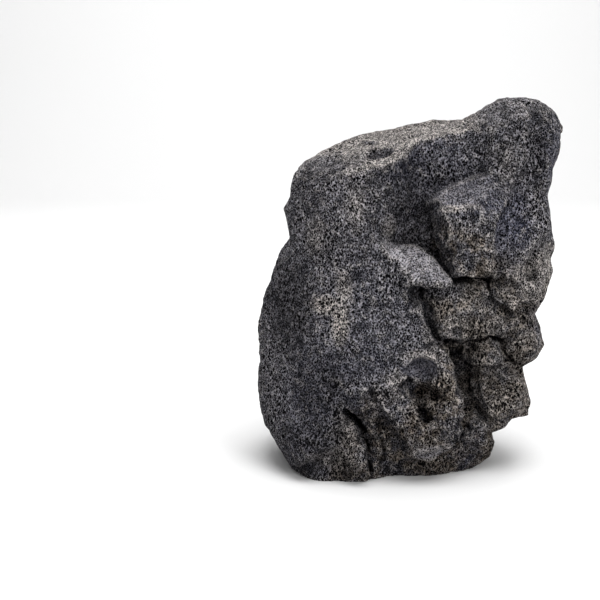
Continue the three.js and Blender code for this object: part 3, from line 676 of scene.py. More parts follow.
def channel_distance(p, line, radius):
    """Distance to a line of points, less the radius."""
    best = np.full(p.shape[1], FAR)
    for a, b in zip(line[:-1], line[1:]):
        e = [b[k] - a[k] for k in range(3)]
        w = [p[k] - a[k] for k in range(3)]
        along = w[0] * e[0] + w[1] * e[1] + w[2] * e[2]
        t = np.clip(along / (e[0] ** 2 + e[1] ** 2 + e[2] ** 2), 0.0, 1.0)
        gap = sum((w[k] - e[k] * t) ** 2 for k in range(3))
        best = np.minimum(best, gap)
    return np.sqrt(best) - radius


def block_distance(p, outline, faces, taper, rounding):
    """Rounded larger of the front faces and the outline's sides, which spread by taper behind
    the front. Far from the block a lower bound from the outline's box is enough."""
    corners = np.asarray(outline, float)
    front = plane_distance(p, faces[0])
    for face in faces[1:]:
        front = smooth_max(front, plane_distance(p, face), rounding)
    for centre, half, extra in WORN_EDGES:
        rounding = rounding + extra * region(p, centre, half, WORN_FADE)
    middle = (corners.max(0) + corners.min(0)) / 2.0
    reach = (corners.max(0) - corners.min(0)) / 2.0
    spread = taper * np.maximum(front, -BLOCK_DEPTH)
    aside = np.abs(p[0] - middle[0]) - reach[0]
    above = np.abs(p[2] - middle[1]) - reach[1]
    bound = np.maximum(front, np.maximum(aside, above) + spread)
    near = bound < BLOCK_NEAR
    side = outline_distance(p[0][near], p[2][near], outline) + spread[near]
    bound[near] = smooth_max(front[near], side, rounding[near])
    return bound


def crack_depth(p):
    """How deep the cracks are cut: their depth on their line, falling to 0 at their half
    width, on the front alone."""
    flat = np.stack([p[0], np.zeros_like(p[0]), p[2]])
    cut = np.zeros_like(p[0])
    for line, half_width, depth in CRACKS.values():
        gap = channel_distance(flat, [(x, 0.0, z) for x, z in line], 0.0)
        cut = np.maximum(cut, depth * (1.0 - smooth_step(gap, 0.0, half_width)))
    return cut * stepped(-p[1], "cracked front")


def body_distance(p):
    """Blocks joined, trimmed by the top face, with the lumps added and the hollows and clefts
    taken away, all in a slightly bent space, and then the cracks cut in."""
    w = bent(p)
    f = np.full(p.shape[1], FAR)
    for outline, faces, taper, rounding, blend in BLOCKS.values():
        f = smooth_min(f, block_distance(w, outline, faces, taper, rounding), blend)
    f = smooth_max(f, plane_distance(w, TOP_FACE[0]), TOP_FACE[1])
    for centre, half, roll, blend in LUMPS.values():
        f = smooth_min(f, ellipsoid_distance(w, centre, half, roll), blend)
    for centre, half, roll, blend in HOLLOWS.values():
        f = smooth_max(f, -ellipsoid_distance(w, centre, half, roll), blend)
    for line, radius, blend in CLEFTS.values():
        f = smooth_max(f, -channel_distance(w, line, radius), blend)
    for face, rounding in TRIM_FACES.values():
        f = smooth_max(f, plane_distance(w, face), rounding)
    return f + crack_depth(p)


def torn_share(p):
    """1 where the stone is torn and lumpy, 0 on its even broken faces: an outline on the
    front, and patches of noise on the back."""
    front = stepped(-outline_distance(p[0], p[2], TORN_PART), "inside the torn part")
    for centre, half, share in CALM_PARTS:
        front = front * (1.0 - share * region(p, centre, half))
    size, low, high, seed = TORN_PATCHES
    back = smooth_step(noise(p, size, seed), low, high)
    behind = stepped(p[1], "front to back")
    return front * (1.0 - behind) + back * behind


def silhouette_distance(p):
    """Distance to the outline after each point is carried from the viewpoint to y = 0."""
    v = p + bend_shift(p, *OUTLINE_BEND)
    scale = -VIEWPOINT[1] / (v[1] - VIEWPOINT[1])
    x = VIEWPOINT[0] + (v[0] - VIEWPOINT[0]) * scale
    z = VIEWPOINT[2] + (v[2] - VIEWPOINT[2]) * scale
    return outline_distance(x, z, OUTLINE)


def plate_height(p):
    """Height of the raised plates on the back: smooth steps of noise."""
    height = -PLATE_MEAN
    for size, rise, low, high, seed in PLATES:
        height = height + rise * smooth_step(noise(p, size, seed), low, high)
    return height * stepped(p[1], "plated back")


def block_height(p, size, seed, crack):
    """Broken blocks: every point belongs to the nearest of points scattered one to a lattice
    cell, and stands as high as its grade says, -1 to 1. Next to the border with the second
    nearest it changes to the mean of the two heights, less the crack."""
    near = np.full(p.shape[1], FAR)
    second = near.copy()
    height = np.zeros(p.shape[1])
    other = height.copy()
    for grade, gap in nearby_points(p, size, seed):
        level = 2.0 * grade - 1.0
        closer = gap < near
        between = ~closer & (gap < second)
        second = np.where(closer, near, np.where(between, gap, second))
        other = np.where(closer, height, np.where(between, level, other))
        near = np.where(closer, gap, near)
        height = np.where(closer, level, height)
    inner = smooth_step(np.sqrt(second) - np.sqrt(near), 0.0, BLOCK_BORDER)
    return height * inner + (0.5 * (height + other) - crack) * (1.0 - inner)


def form_distance(p, fine=False):
    """Distance to the stone's surface in mm, negative inside it, with the relief on it."""
    torn = torn_share(p)
    f = body_distance(p) - plate_height(p)
    for size, even, extra, seed in COARSE_RELIEF + (FINE_RELIEF if fine else []):
        f = f - (even + extra * torn) * noise(p, size, seed)
    if fine:
        for size, even, extra, seed in RIDGES:
            crest = RIDGE_CREST - RIDGE_FALL * np.abs(noise(p, size, seed))
            f = f - (even + extra * torn) * crest
        for size, even, extra, seed, crack in CLINKER:
            f = f - (even + extra * torn) * block_height(p, size, seed, crack)
    f = smooth_max(f, silhouette_distance(p), OUTLINE_ROUNDING)
    return np.maximum(f, -p[2])


def in_parts(work, p):
    """Runs work on parts of the points side by side and joins what comes back."""
    parts = np.array_split(p, max(1, p.shape[1] // PART_POINTS), axis=1)
    with ThreadPoolExecutor(WORKERS) as pool:
        return np.concatenate(list(pool.map(work, parts)), axis=-1)


# The skin: a net of four-sided faces on a cubic grid, settled onto the form.


def corner_views(values):
    """The grid as it is seen from each of a cube's eight corners, cut to the count of cubes."""
    for step in product((0, 1), repeat=3):
        yield values[tuple(slice(k, size - 1 + k) for k, size in zip(step, values.shape))]


def spread_out(values):
    """Each value of a coarse grid repeated for the fine cells that its cell holds."""
    return values.repeat(COARSE, 0).repeat(COARSE, 1).repeat(COARSE, 2)


def grid_values(cell):
    """Form values on a cubic grid. A coarse grid is worked out first, and the fine values only
    where the coarse ones say that the surface is near."""
    low = np.array(GRID_LOW)
    step = COARSE * cell
    axes = [start + step * np.arange(np.ceil(span / step) + 1) for start, span in zip(low, GRID_SPANS)]
    places = np.stack(np.meshgrid(*axes, indexing="ij"))
    coarse = in_parts(form_distance, places.reshape(3, -1)).reshape(places.shape[1:])
    least = np.minimum.reduce([np.abs(part) for part in corner_views(coarse)])
    near = spread_out(least < NEAR_CELLS * cell)
    sides = spread_out(np.where(coarse[:-1, :-1, :-1] < 0.0, -1.0, 1.0))
    values = np.pad(sides, ((0, 1), (0, 1), (0, 1)), mode="edge")
    wanted = np.zeros(values.shape, bool)
    for part in corner_views(wanted):
        part |= near
    index = np.nonzero(wanted)
    values[index] = in_parts(form_distance, low[:, None] + cell * np.stack(index))
    return values, low


def net_from_grid(values, low, cell):
    """Surface net: each grid cube that the surface crosses gets one point, the mean of where
    its edges are crossed, and each crossed grid edge gets the face between its four cubes."""
    solid = values < 0.0
    count = sum(part.astype(np.int8) for part in corner_views(solid))
    cube = np.stack(np.nonzero((count > 0) & (count < 8)))
    number = np.full(count.shape, -1, np.int64)
    number[tuple(cube)] = np.arange(cube.shape[1])
    total = np.zeros(cube.shape)
    crossed = np.zeros(cube.shape[1])
    for corner in product((0, 1), repeat=3):
        for axis in range(3):
            if corner[axis]:
                continue
            a = cube + np.array(corner)[:, None]
            b = a.copy()
            b[axis] += 1
            fa, fb = values[tuple(a)], values[tuple(b)]
            hit = (fa < 0.0) != (fb < 0.0)
            t = np.where(hit, fa / np.where(hit, fa - fb, 1.0), 0.0)
            spot = a.astype(float)
            spot[axis] += t
            total += np.where(hit, spot, 0.0)
            crossed += hit
    points = low[:, None] + cell * total / crossed
    faces = []
    for axis in range(3):
        u, v = (axis + 1) % 3, (axis + 2) % 3
        first = [slice(1, -1)] * 3
        second = [slice(1, -1)] * 3
        first[axis] = slice(0, -1)
        second[axis] = slice(1, None)
        a, b = solid[tuple(first)], solid[tuple(second)]
        edge = np.stack(np.nonzero(a != b))
        base = edge + np.array([[1 if k != axis else 0] for k in range(3)])
        leaving = a[tuple(edge)]
        ring = []
        for du, dv in ((0, 0), (1, 0), (1, 1), (0, 1)):
            q = base.copy()
            q[u] -= du
            q[v] -= dv
            ring.append(number[tuple(q)])
        ring = np.stack(ring, axis=1)
        ring[~leaving] = ring[~leaving][:, ::-1]
        faces.append(ring)
    return points, np.concatenate(faces)


def largest_net(points, faces):
    """Keeps the largest connected net: every point takes the least number along its faces'
    edges until nothing changes, and the closed pockets inside the stone fall away."""
    label = np.arange(points.shape[1])
    while True:
        least = label[faces].min(axis=1)
        lower = label.copy()
        for k in range(4):
            np.minimum.at(lower, faces[:, k], least)
        lower = lower[lower]
        if np.array_equal(lower, label):
            break
        label = lower
    kept = label == np.bincount(label).argmax()
    place = np.cumsum(kept) - 1
    return points[:, kept], place[faces[kept[faces[:, 0]]]]


def face_edges(faces):
    """The net's edges, each once, as two rows of point numbers."""
    pairs = np.concatenate([np.stack([faces[:, k], faces[:, (k + 1) % 4]]) for k in range(4)], 1)
    pairs.sort(axis=0)
    return np.unique(pairs, axis=1)


def neighbour_mean(values, edges):
    """Mean of each point's neighbours, for every row of values."""
    count = values.shape[1]
    total = np.zeros(values.shape)
    for row in range(values.shape[0]):
        total[row] = np.bincount(edges[0], values[row][edges[1]], count)
        total[row] += np.bincount(edges[1], values[row][edges[0]], count)
    return total / np.bincount(edges.ravel(), minlength=count)


def net_normals(p, faces):
    """Unit normals of the points: the mean of the cross products of their faces' diagonals."""
    a, b, c, d = (p[:, faces[:, k]] for k in range(4))
    across = np.cross(c - a, d - b, axis=0)
    total = np.zeros(p.shape)
    for row in range(3):
        for k in range(4):
            total[row] += np.bincount(faces[:, k], across[row], p.shape[1])
    return total / np.maximum(np.linalg.norm(total, axis=0), TINY)


def settle(p, faces, edges, rounds, evening, reach, fine, cap):
    """Moves the points towards the mean of their neighbours, then along their normals back
    onto the surface: the form's value there over its slope along the normal."""
    form = partial(form_distance, fine=fine)
    for _ in range(rounds):
        p = p + evening * (neighbour_mean(p, edges) - p)
        n = net_normals(p, faces)
        here = in_parts(form, p)
        slope = (in_parts(form, p + reach * n) - here) / reach
        p = p - np.clip(here / np.maximum(slope, LEAST_SLOPE), -cap, cap) * n
    return p


def pit_depth(p, spacing, radius, depth, share, seed):
    """Depth of round gas pits: each lattice cell may hold one pit at a hashed place, and the
    depth is depth * (1 - (gap / radius)^2) in the deepest of them, which leaves sharp rims."""
    deepest = np.zeros(p.shape[1])
    for grade, gap in nearby_points(p, spacing, seed):
        size = radius / spacing * (PIT_LEAST + PIT_EXTRA * grade / share)
        deepest = np.maximum(deepest, np.where(grade < share, 1.0 - gap / size ** 2, 0.0))
    return depth * deepest


def skin_depth(rows):
    """How deep each point of the net is sunk: the pits, less on even faces than on torn ones,
    and the grain. The rows are x, y, z and the torn share."""
    p, torn = rows[:3], rows[3]
    sunk = np.zeros(p.shape[1])
    for spacing, radius, depth, share, even, seed in PITS:
        pits = pit_depth(p, spacing, radius, depth, share, seed)
        sunk = sunk + (even + (1.0 - even) * torn) * pits
    for size, height, seed in NET_GRAIN:
        sunk = sunk + height * noise(p, size, seed)
    return sunk


def bulge(p, n, edges):
    """How far each point stands out of its smoothed surroundings, in mm: the surface is
    averaged for some rounds and the difference is taken along the normal."""
    q = p
    for _ in range(BULGE_ROUNDS):
        q = neighbour_mean(q, edges)
    return ((p - q) * n).sum(0)


def shelter_for_painted_shade(p, n):
    """How sheltered each point is, 0 to about 1, which sets the painted shade there: the form is read
    at four heights over the surface, and each counts by how much less than that height it says."""
    total = np.zeros(p.shape[1])
    for height, weight in SHELTER_HEIGHTS:
        room = in_parts(form_distance, p + height * n)
        total += weight * np.clip(1.0 - room / height, 0.0, 1.0)
    return total


def petal_share(p, n):
    """1 on the even face of the petal ledge."""
    outline = BLOCKS["petal ledge"][0]
    inside = stepped(-outline_distance(p[0], p[2], outline), "inside the petal")
    return inside * stepped(n[2], "petal facing up") * stepped(-p[1], "front of the petal")


def smooth_share(p, n):
    """Dense skin with few pits: the petal ledge, the shelf, and the hollow and chip of the lip."""
    shelf = any_of(p, SMOOTH_SHELF) * stepped(n[2], "smooth shelf facing up")
    return np.maximum.reduce([petal_share(p, n), shelf, any_of(p, SMOOTH_HOLLOWS)])


def pale_and_painted_light_share(p, n):
    """Lighter skin, partly weathering and partly painted light from above: the sloping top as far as
    the horn, the petal ledge, the shelf, the lumps on the right, and a little on all that faces up."""
    top = stepped(n[2] + TOP_LEAN * n[0], "top facing up")
    top *= stepped(p[2] - TOP_SLANT * p[0], "height of the top")
    top *= 1.0 - stepped(p[0], "top to horn")
    top *= 1.0 - any_of(p, DULL_AND_UNLIT_TOP)
    shelf = any_of(p, PALE_SHELF) * stepped(n[2], "pale shelf facing up")
    upper = stepped(n[2], "facing up") * stepped(p[2], "height of the painted light facing up")
    return np.maximum.reduce([
        top, PALE_PETAL * petal_share(p, n), shelf, any_of(p, PALE_LUMPS), PAINTED_LIGHT_FACING_UP * upper])


def cleft_share(p):
    """1 on the walls of the clefts and in the cracks, 0 on the open stone beside them."""
    w = bent(p)
    gap = np.minimum.reduce([channel_distance(w, line, r) for line, r, _ in CLEFTS.values()])
    return np.maximum(1.0 - stepped(gap, "beside a cleft"), stepped(crack_depth(p), "in a crack"))


def painted_shade_share(p, n):
    """Painted shade: low down, facing down, in the clefts, and in the stated parts."""
    low = 1.0 - stepped(p[2] + PAINTED_SHADE_LIFT * n[2], "height of the low painted shade")
    down = stepped(-n[2], "facing down")
    return np.maximum.reduce([
        PAINTED_SHADE_LOW * low, PAINTED_SHADE_DOWN * down, PAINTED_SHADE_CLEFT * cleft_share(p), any_of(p, PAINTED_SHADE_PARTS)])


def stone_net(cell):
    """The stone's points in mm in the form's axes, its faces, and its painted shares."""
    values, low = grid_values(cell)
    points, faces = largest_net(*net_from_grid(values, low, cell))
    edges = face_edges(faces)
    settled = partial(settle, faces=faces, edges=edges, reach=0.4 * cell)
    points = settled(points, rounds=2, evening=0.35, fine=False, cap=0.5 * cell)
    points = settled(points, rounds=4, evening=0.1, fine=True, cap=0.9 * cell)
    n = net_normals(points, faces)
    torn = in_parts(torn_share, points)
    smooth = smooth_share(points, n)
    sunk = in_parts(skin_depth, np.concatenate([points, [torn]]))
    sunk *= (1.0 - smooth) * stepped(points[2], "height of the first pits")
    points = points - sunk * n
    points[2] = np.where(points[2] < FLOOR_REACH, 0.0, points[2])
    n = net_normals(points, faces)
    stands = bulge(points, n, edges)
    shares = {
        "torn": torn,
        "smooth": smooth,
        # Lighter ridges: edge wear with a painted highlight.
        "ridge": stepped(stands, "bulge"),
        # Painted shade in the creases.
        "crease": stepped(-stands, "bulge"),
        # Painted shade in sheltered places.
        "sheltered": stepped(shelter_for_painted_shade(points, n), "shelter_for_painted_shade"),
        # Weathering with painted light on the top and on what faces up.
        "pale": pale_and_painted_light_share(points, n),
        # Mineral crust, with painted highlights on some edges and lump tops.
        "mineral": any_of(points, MINERAL_CRUST_AND_PAINTED_HIGHLIGHTS),
        "cool": any_of(points, COOL_PARTS),
        # Painted shade low down, facing down, in the clefts and in the listed parts.
        "sooty": painted_shade_share(points, n),
    }
    return points, faces, {name: np.clip(share, 0.0, 1.0) for name, share in shares.items()}


# Materials.


def new_material(name):
    """An empty node material with its shader and output."""
    material = bpy.data.materials.new(name)
    material.use_nodes = True
    tree = material.node_tree
    tree.nodes.clear()
    output = tree.nodes.new("ShaderNodeOutputMaterial")
    shader = tree.nodes.new("ShaderNodeBsdfPrincipled")
    tree.links.new(shader.outputs["BSDF"], output.inputs["Surface"])
    return material, tree, shader


class NodeBench:
    """Short calls for the nodes that the finishes are made of."""

    def __init__(self, tree):
        self.tree = tree

    def fill(self, socket, value):
        """Links a socket to another node's output, or gives it a value."""
        if isinstance(value, bpy.types.NodeSocket):
            self.tree.links.new(value, socket)
        else:
            socket.default_value = value

    def add(self, kind, values, **settings):
        """A node with its settings, and its inputs filled."""
        node = self.tree.nodes.new(kind)
        for key, value in settings.items():
            setattr(node, key, value)
        for key, value in values.items():
            self.fill(node.inputs[key], value)
        return node

    def object_place(self):
        """Where a point is on its object, in metres."""
        return self.add("ShaderNodeTexCoord", {}).outputs["Object"]

    def noise(self, place, size, detail, rough, output="Fac"):
        """Noise whose features are about size metres wide, 0 to 1."""
        values = {"Vector": place, "Scale": 1.0 / size, "Detail": detail, "Roughness": rough}
        return self.add("ShaderNodeTexNoise", values).outputs[output]

    def cells(self, place, size, feature="F1"):
        """Distance to scattered points about size metres apart, in those sizes."""
        values = {"Vector": place, "Scale": 1.0 / size}
        return self.add("ShaderNodeTexVoronoi", values, feature=feature).outputs["Distance"]

    def ramp(self, value, low, high, start, end):
        """A smooth change from start to end as the value goes from low to high."""
        values = {"Value": value, "From Min": low, "From Max": high, "To Min": start, "To Max": end}
        node = self.add("ShaderNodeMapRange", values, interpolation_type="SMOOTHSTEP")
        return node.outputs["Result"]

    def named_ramp(self, value, name):
        """One of the named ramps of the finishes."""
        return self.ramp(value, *RAMPS[name])

    def math(self, operation, a, b):
        """One of Blender's maths operations on two values."""
        return self.add("ShaderNodeMath", {0: a, 1: b}, operation=operation).outputs[0]

    def vector(self, operation, a, b):
        """One of Blender's vector operations on two vectors."""
        return self.add("ShaderNodeVectorMath", {0: a, 1: b}, operation=operation).outputs[0]

    def sum(self, a, b):
        """a + b"""
        return self.math("ADD", a, b)

    def times(self, a, b):
        """a * b"""
        return self.math("MULTIPLY", a, b)

    def mix(self, share, a, b):
        """Colour a where the share is 0 and colour b where it is 1."""
        node = self.add("ShaderNodeMix", {"Factor": share}, data_type="RGBA")
        self.fill(node.inputs[MIX_INPUTS[0]], a)
        self.fill(node.inputs[MIX_INPUTS[1]], b)
        return node.outputs[MIX_OUTPUT]

    def share(self, name):
        """A painted share of the net, 0 to 1."""
        return self.add("ShaderNodeAttribute", {}, attribute_name=name).outputs["Fac"]


def opaque(colour):
    """A colour with its alpha."""
    return (*tuple(colour), 1.0)


def pit_layer(bench, place, size, reach, edge, wall=0.0):
    """Round pits about size metres apart: 1 inside each, 0 on the walls between them, where
    reach is how far they go, in spacings, edge how soft their rim is and wall how thick a
    wall always stays between two pits."""
    distance = bench.cells(place, size)
    low = bench.sum(reach, -edge)
    high = bench.sum(reach, edge)
    pits = bench.ramp(distance, low, high, 1.0, 0.0)
    if wall:
        border = bench.cells(place, size, feature="DISTANCE_TO_EDGE")
        pits = bench.math("MINIMUM", pits, bench.ramp(border, 0.5 * wall, 1.5 * wall, 0.0, 1.0))
    return pits


def open_pits(bench, place, finish, clumps, mottle):
    """1 in the open gas pits and 0 between them: fine ones everywhere, smaller ones among them
    and large ones here and there, drawn out a little along the flow of the lava."""
    smooth = bench.share("smooth")
    flow = bench.add("ShaderNodeMapping", {"Vector": place, "Rotation": finish.flow_turn,
                                           "Scale": finish.flow_stretch}).outputs["Vector"]
    wander = bench.noise(place, *WANDER_NOISE, output="Color")
    wander = bench.vector("SUBTRACT", wander, NOISE_MIDDLE)
    wander = bench.vector("MULTIPLY", wander, WANDER_SHIFT)
    spot = bench.vector("ADD", flow, wander)

    reach = bench.named_ramp(clumps, "reach of the pits")
    reach = bench.times(reach, bench.named_ramp(smooth, "reach on dense skin"))
    fine = pit_layer(bench, spot, finish.pit_size, reach, FINE_EDGE, FINE_WALL)
    small_reach = bench.times(reach, SMALL_REACH)
    small = pit_layer(bench, spot, finish.pit_size * SMALL_SIZE, small_reach, SMALL_EDGE)
    large_reach = bench.times(bench.named_ramp(mottle, "reach of the large pits"),
                              bench.named_ramp(smooth, "large reach on dense skin"))
    large = pit_layer(bench, spot, finish.pit_size * LARGE_SIZE, large_reach, LARGE_EDGE)
    pits = bench.math("MAXIMUM", fine, bench.times(small, SMALL_SHADE))
    return bench.math("MAXIMUM", pits, large)


def lava_material(finish):
    """Dark lava: gas pits from scattered cells, grain from noise, brown and pale patches, with painted
    light and painted shade.
    """
    material, tree, shader = new_material("pitted lava")
    bench = NodeBench(tree)
    place = bench.object_place()
    grain = bench.noise(place, *GRAIN_NOISE)
    clumps = bench.noise(place, *CLUMP_NOISE)
    mottle = bench.noise(place, *MOTTLE_NOISE)
    broad = bench.noise(place, *BROAD_NOISE)
    pits = open_pits(bench, place, finish, clumps, mottle)

    def weighted(name):
        """Sum of the grain, clumps and mottle, each times its weight in the named mixture."""
        total = None
        for layer, weight in zip((grain, clumps, mottle), MIXTURES[name]):
            if weight:
                part = bench.times(layer, weight)
                total = part if total is None else bench.sum(total, part)
        return total

    warm = bench.times(bench.named_ramp(weighted("brown"), "brown"),
                       bench.named_ramp(bench.share("torn"), "brown on torn stone"))
    # Mottling of the pale weathering and painted light.
    worn = bench.named_ramp(weighted("weathering"), "weathering")
    rim = bench.named_ramp(weighted("rims"), "rims")
    crust = bench.named_ramp(weighted("crust"), "crust")
    flecks = bench.named_ramp(bench.noise(place, *FLECK_NOISE), "flecks")
    flecks = bench.times(flecks, bench.named_ramp(broad, "strength of the flecks"))

    # Stone colour between the pits, then its tints and patches, painted light and highlights on the
    # top, what faces up, ridges and some edges, and painted shade where little light comes: low down,
    # facing down, in clefts, creases, sheltered places and pits.
    tone = bench.named_ramp(weighted("tone"), "tone")
    colour = bench.mix(tone, opaque(finish.dark_colour), opaque(finish.light_colour))
    for share, tint in (
        (warm, finish.brown_colour),
        (bench.times(bench.share("cool"), COOL_STRENGTH), finish.cool_colour),
        # Pale weathering with painted light on the top and on what faces up.
        (bench.times(bench.share("pale"), worn), finish.pale_and_painted_light_colour),
        # Lighter ridges: edge wear with a painted highlight.
        (bench.times(bench.share("ridge"), rim), finish.pale_and_painted_light_colour),
        # Mineral crust, with painted highlights on some edges and lump tops.
        (bench.times(bench.share("mineral"), crust), finish.mineral_and_highlight_colour),
        (flecks, finish.mineral_and_highlight_colour),
        # Painted shade, in the dark lava colour.
        (bench.times(bench.share("sooty"), PAINTED_SHADE_STRENGTH), finish.dark_colour),
        # Painted shade in the creases.
        (bench.times(bench.share("crease"), CREASE_SHADE_STRENGTH), finish.pit_shade_colour),
        # Painted shade in sheltered places.
        (bench.times(bench.share("sheltered"), SHELTER_SHADE_STRENGTH), finish.pit_shade_colour),
        # Painted shade in the open pits, near black.
        (bench.times(pits, PIT_SHADE_STRENGTH), finish.pit_shade_colour),
    ):
        colour = bench.mix(share, colour, opaque(tint))
    bench.fill(shader.inputs["Base Color"], colour)
    bench.fill(shader.inputs["Roughness"], bench.named_ramp(grain, "roughness"))
    bench.fill(shader.inputs["Specular IOR Level"], 0.0)

    height = bench.sum(bench.times(pits, -1.0), weighted("relief"))
    bump = bench.add("ShaderNodeBump", {"Strength": 1.0, "Distance": finish.relief_depth,
                                        "Height": height})
    bench.fill(shader.inputs["Normal"], bump.outputs["Normal"])
    return material


def floor_material(stage):
    """Plain pale floor with a very faint unevenness in its shine."""
    material, tree, shader = new_material("pale floor")
    bench = NodeBench(tree)
    soft = bench.noise(bench.object_place(), *FLOOR_NOISE)
    bench.fill(shader.inputs["Base Color"], opaque(stage.floor_colour))
    bench.fill(shader.inputs["Roughness"], bench.named_ramp(soft, "floor roughness"))
    return material


# Meshes and objects.


def net_object(name, points, faces, material):
    """An object at the origin whose mesh holds the points, in metres, and the faces."""
    mesh = bpy.data.meshes.new(name)
    mesh.from_pydata(points.T.tolist(), [], faces.tolist())
    mesh.update()
    mesh.materials.append(material)
    mesh.polygons.foreach_set("use_smooth", np.ones(len(mesh.polygons), bool))
    thing = bpy.data.objects.new(name, mesh)
    bpy.context.scene.collection.objects.link(thing)
    return thing


def sweep_points(half_width, near, far, rise, bend):
    """Floor and backdrop: a profile that runs level from near to far, turns up on an arc of
    radius bend and rises, carried across from side to side."""
    turn = np.linspace(0.0, np.pi / 2.0, SWEEP_STEPS[0])
    y = np.concatenate([[near, 0.0], far + bend * np.sin(turn), [far + bend]])
    z = np.concatenate([[0.0, 0.0], bend * (1.0 - np.cos(turn)), [rise]])
    x = np.linspace(-half_width, half_width, SWEEP_STEPS[1])
    grid_x, grid_y = np.meshgrid(x, y, indexing="ij")
    _, grid_z = np.meshgrid(x, z, indexing="ij")
    points = np.stack([grid_x, grid_y, grid_z]).reshape(3, -1)
    number = np.arange(len(x) * len(y)).reshape(len(x), len(y))
    faces = np.stack([number[:-1, :-1], number[1:, :-1], number[1:, 1:], number[:-1, 1:]], -1)
    return points, faces.reshape(-1, 4)


def aim(thing, place, target):
    """Puts a light or the camera at a place, looking at the target with its top up."""
    thing.location = place
    direction = Vector(target) - Vector(place)
    thing.rotation_euler = direction.to_track_quat("-Z", "Y").to_euler()


def area_light(name, place, target, size, power):
    """A square soft light of that width in metres, facing the target."""
    data = bpy.data.lights.new(name, "AREA")
    data.size = size
    data.energy = power
    light = bpy.data.objects.new(name, data)
    bpy.context.scene.collection.objects.link(light)
    aim(light, place, target)


# Settings, operators and panel.


def colour_property(name, description, default):
    """A colour that the panel shows."""
    return bpy.props.FloatVectorProperty(
        name=name, description=description, subtype="COLOR", size=3, min=0.0, max=1.0,
        default=default)


def power_property(name, description, default):
    """A light's power in watts."""
    return bpy.props.FloatProperty(
        name=name, description=description, default=default, min=0.0, unit="POWER")


class LavaRockStoneSettings(bpy.types.PropertyGroup):
    """Sizes and colours of the stone"""

    net_cell: bpy.props.FloatProperty(
        name="Net spacing",
        description="Width of the grid cubes that the skin is found on, in millimetres",
        default=1.24, min=1.0, max=6.0)
    pit_size: bpy.props.FloatProperty(
        name="Pit spacing",
        description="Distance between the fine gas pits",
        default=0.00098, min=0.0005, max=0.01, unit="LENGTH")
    relief_depth: bpy.props.FloatProperty(
        name="Grain depth",
        description="Depth of the fine grain and the pits",
        default=0.0011, min=0.0, max=0.005, unit="LENGTH")
    flow_turn: bpy.props.FloatVectorProperty(
        name="Flow direction",
        description="Turn of the direction along which the pits are drawn out",
        default=(0.0, 0.62, 0.2), subtype="EULER")
    flow_stretch: bpy.props.FloatVectorProperty(
        name="Flow stretch",
        description="Scale of the pit pattern along each turned axis, below 1 where drawn out",
        default=(1.1, 1.0, 0.72), subtype="XYZ")
    # Near black painted shade in the pits, the creases and sheltered places.
    pit_shade_colour: colour_property("Pits", "Inside of the pits and creases", (0.002, 0.002, 0.0025))
    # Dark lava colour, also used for the painted shade.
    dark_colour: colour_property("Dark", "Dark lava", (0.026, 0.025, 0.031))
    light_colour: colour_property("Light", "Lighter grains", (0.66, 0.65, 0.73))
    brown_colour: colour_property("Brown", "Rusty brown patches", (0.42, 0.34, 0.26))
    cool_colour: colour_property("Cool", "Bluish sheltered walls", (0.17, 0.18, 0.27))
    # Pale weathered colour, also used as painted light on the top, on what faces up and on the ridges.
    pale_and_painted_light_colour: colour_property("Pale", "Weathered top", (0.86, 0.80, 0.76))
    # Whitish crust colour, also used for painted highlights among the mineral patches.
    mineral_and_highlight_colour: colour_property("Mineral", "Whitish crust", (0.86, 0.79, 0.75))


class LavaRockStageSettings(bpy.types.PropertyGroup):
    """Colour of the floor, power of the lights and place of the camera"""

    floor_colour: colour_property("Floor", "Plain pale floor", (0.86, 0.86, 0.86))
    top_light: power_property("Top light", "Power of the large light above the stone", 12.0)
    front_light: power_property("Front light", "Power of the soft light from the front right", 10.0)
    back_light: power_property("Backdrop light", "Power of the light on the backdrop", 30.0)
    sky: bpy.props.FloatProperty(
        name="Surrounding light", description="Strength of the white light all around",
        default=0.26, min=0.0)
    view_distance: bpy.props.FloatProperty(
        name="View distance", description="Camera to the point that it looks at",
        default=0.67, min=0.1, unit="LENGTH")
    view_elevation: bpy.props.FloatProperty(
        name="View elevation", description="Angle of the camera above the floor",
        default=np.radians(10.0), subtype="ANGLE")


class LAVAROCK_OT_stone(bpy.types.Operator):
    """Build the stone's fine skin and its pitted lava finish"""

    bl_idname = "lavarock.stone"
    bl_label = "Build the stone"

    def execute(self, context):
        settings = context.scene.lava_rock_stone
        points, faces, shares = stone_net(settings.net_cell)
        points[:2] -= np.array(FORM_MIDDLE)[:, None]
        stone = net_object("lava_stone", points * MM, faces, lava_material(settings))
        for name, share in shares.items():
            layer = stone.data.attributes.new(name, "FLOAT", "POINT")
            layer.data.foreach_set("value", share.astype(np.float32))
        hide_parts(ROCK_NODE)
        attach(stone, "root")
        return {"FINISHED"}


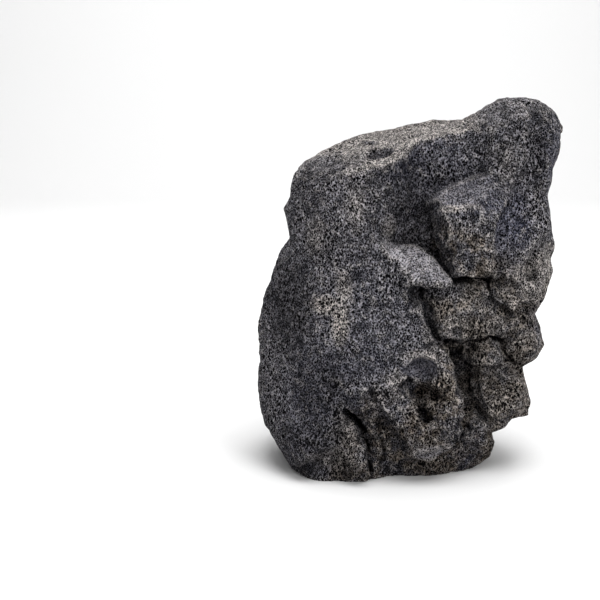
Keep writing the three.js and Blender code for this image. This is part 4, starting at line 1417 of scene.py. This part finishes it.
class LAVAROCK_OT_stage(bpy.types.Operator):
    """Set up the pale floor, the soft lights and the camera"""

    bl_idname = "lavarock.stage"
    bl_label = "Build the stage"

    def execute(self, context):
        scene = context.scene
        settings = scene.lava_rock_stage
        points, faces = sweep_points(**SWEEP)
        net_object("studio_sweep", points, faces, floor_material(settings))
        for name, setting, place, target, size in LIGHTS:
            area_light(name, place, target, size, getattr(settings, setting))

        world = bpy.data.worlds.new("soft studio")
        world.use_nodes = True
        background = world.node_tree.nodes["Background"]
        background.inputs["Color"].default_value = (1.0, 1.0, 1.0, 1.0)
        background.inputs["Strength"].default_value = settings.sky
        scene.world = world
        scene.view_settings.view_transform = "Standard"
        scene.camera = self.camera(scene, settings)
        return {"FINISHED"}

    @staticmethod
    def camera(scene, settings):
        """The camera looks at AIM_POINT from the front, the given angle above the floor."""
        data = bpy.data.cameras.new("photo view")
        data.sensor_width = SENSOR_WIDTH
        data.lens = SENSOR_WIDTH * settings.view_distance / (2.0 * HALF_VIEW)
        camera = bpy.data.objects.new("photo view", data)
        scene.collection.objects.link(camera)
        back = settings.view_distance * np.cos(settings.view_elevation)
        up = settings.view_distance * np.sin(settings.view_elevation)
        aim(camera, (AIM_POINT[0], AIM_POINT[1] - back, AIM_POINT[2] + up), AIM_POINT)
        return camera


class LAVAROCK_PT_panel(bpy.types.Panel):
    """Sidebar panel with the stone, the stage and their settings"""

    bl_label = "Lava rock"
    bl_idname = "LAVAROCK_PT_panel"
    bl_space_type = "VIEW_3D"
    bl_region_type = "UI"
    bl_category = "Lava rock"

    def draw(self, context):
        for settings, operator in (
            (context.scene.lava_rock_stone, "lavarock.stone"),
            (context.scene.lava_rock_stage, "lavarock.stage"),
        ):
            box = self.layout.box()
            box.operator(operator)
            for name in settings.bl_rna.properties.keys():
                if name not in ("rna_type", "name"):
                    box.prop(settings, name)


CLASSES = (
    LavaRockStoneSettings,
    LavaRockStageSettings,
    LAVAROCK_OT_stone,
    LAVAROCK_OT_stage,
    LAVAROCK_PT_panel,
)


def register():
    """Makes the settings, operators and panel known to Blender."""
    for item in CLASSES:
        bpy.utils.register_class(item)
    bpy.types.Scene.lava_rock_stone = bpy.props.PointerProperty(type=LavaRockStoneSettings)
    bpy.types.Scene.lava_rock_stage = bpy.props.PointerProperty(type=LavaRockStageSettings)


def unregister():
    """Takes them out again."""
    del bpy.types.Scene.lava_rock_stage
    del bpy.types.Scene.lava_rock_stone
    for item in reversed(CLASSES):
        bpy.utils.unregister_class(item)


def main():
    """Builds the stage and the stone."""
    register()
    bpy.ops.lavarock.stage()
    bpy.ops.lavarock.stone()


if __name__ == "__main__":
    main()
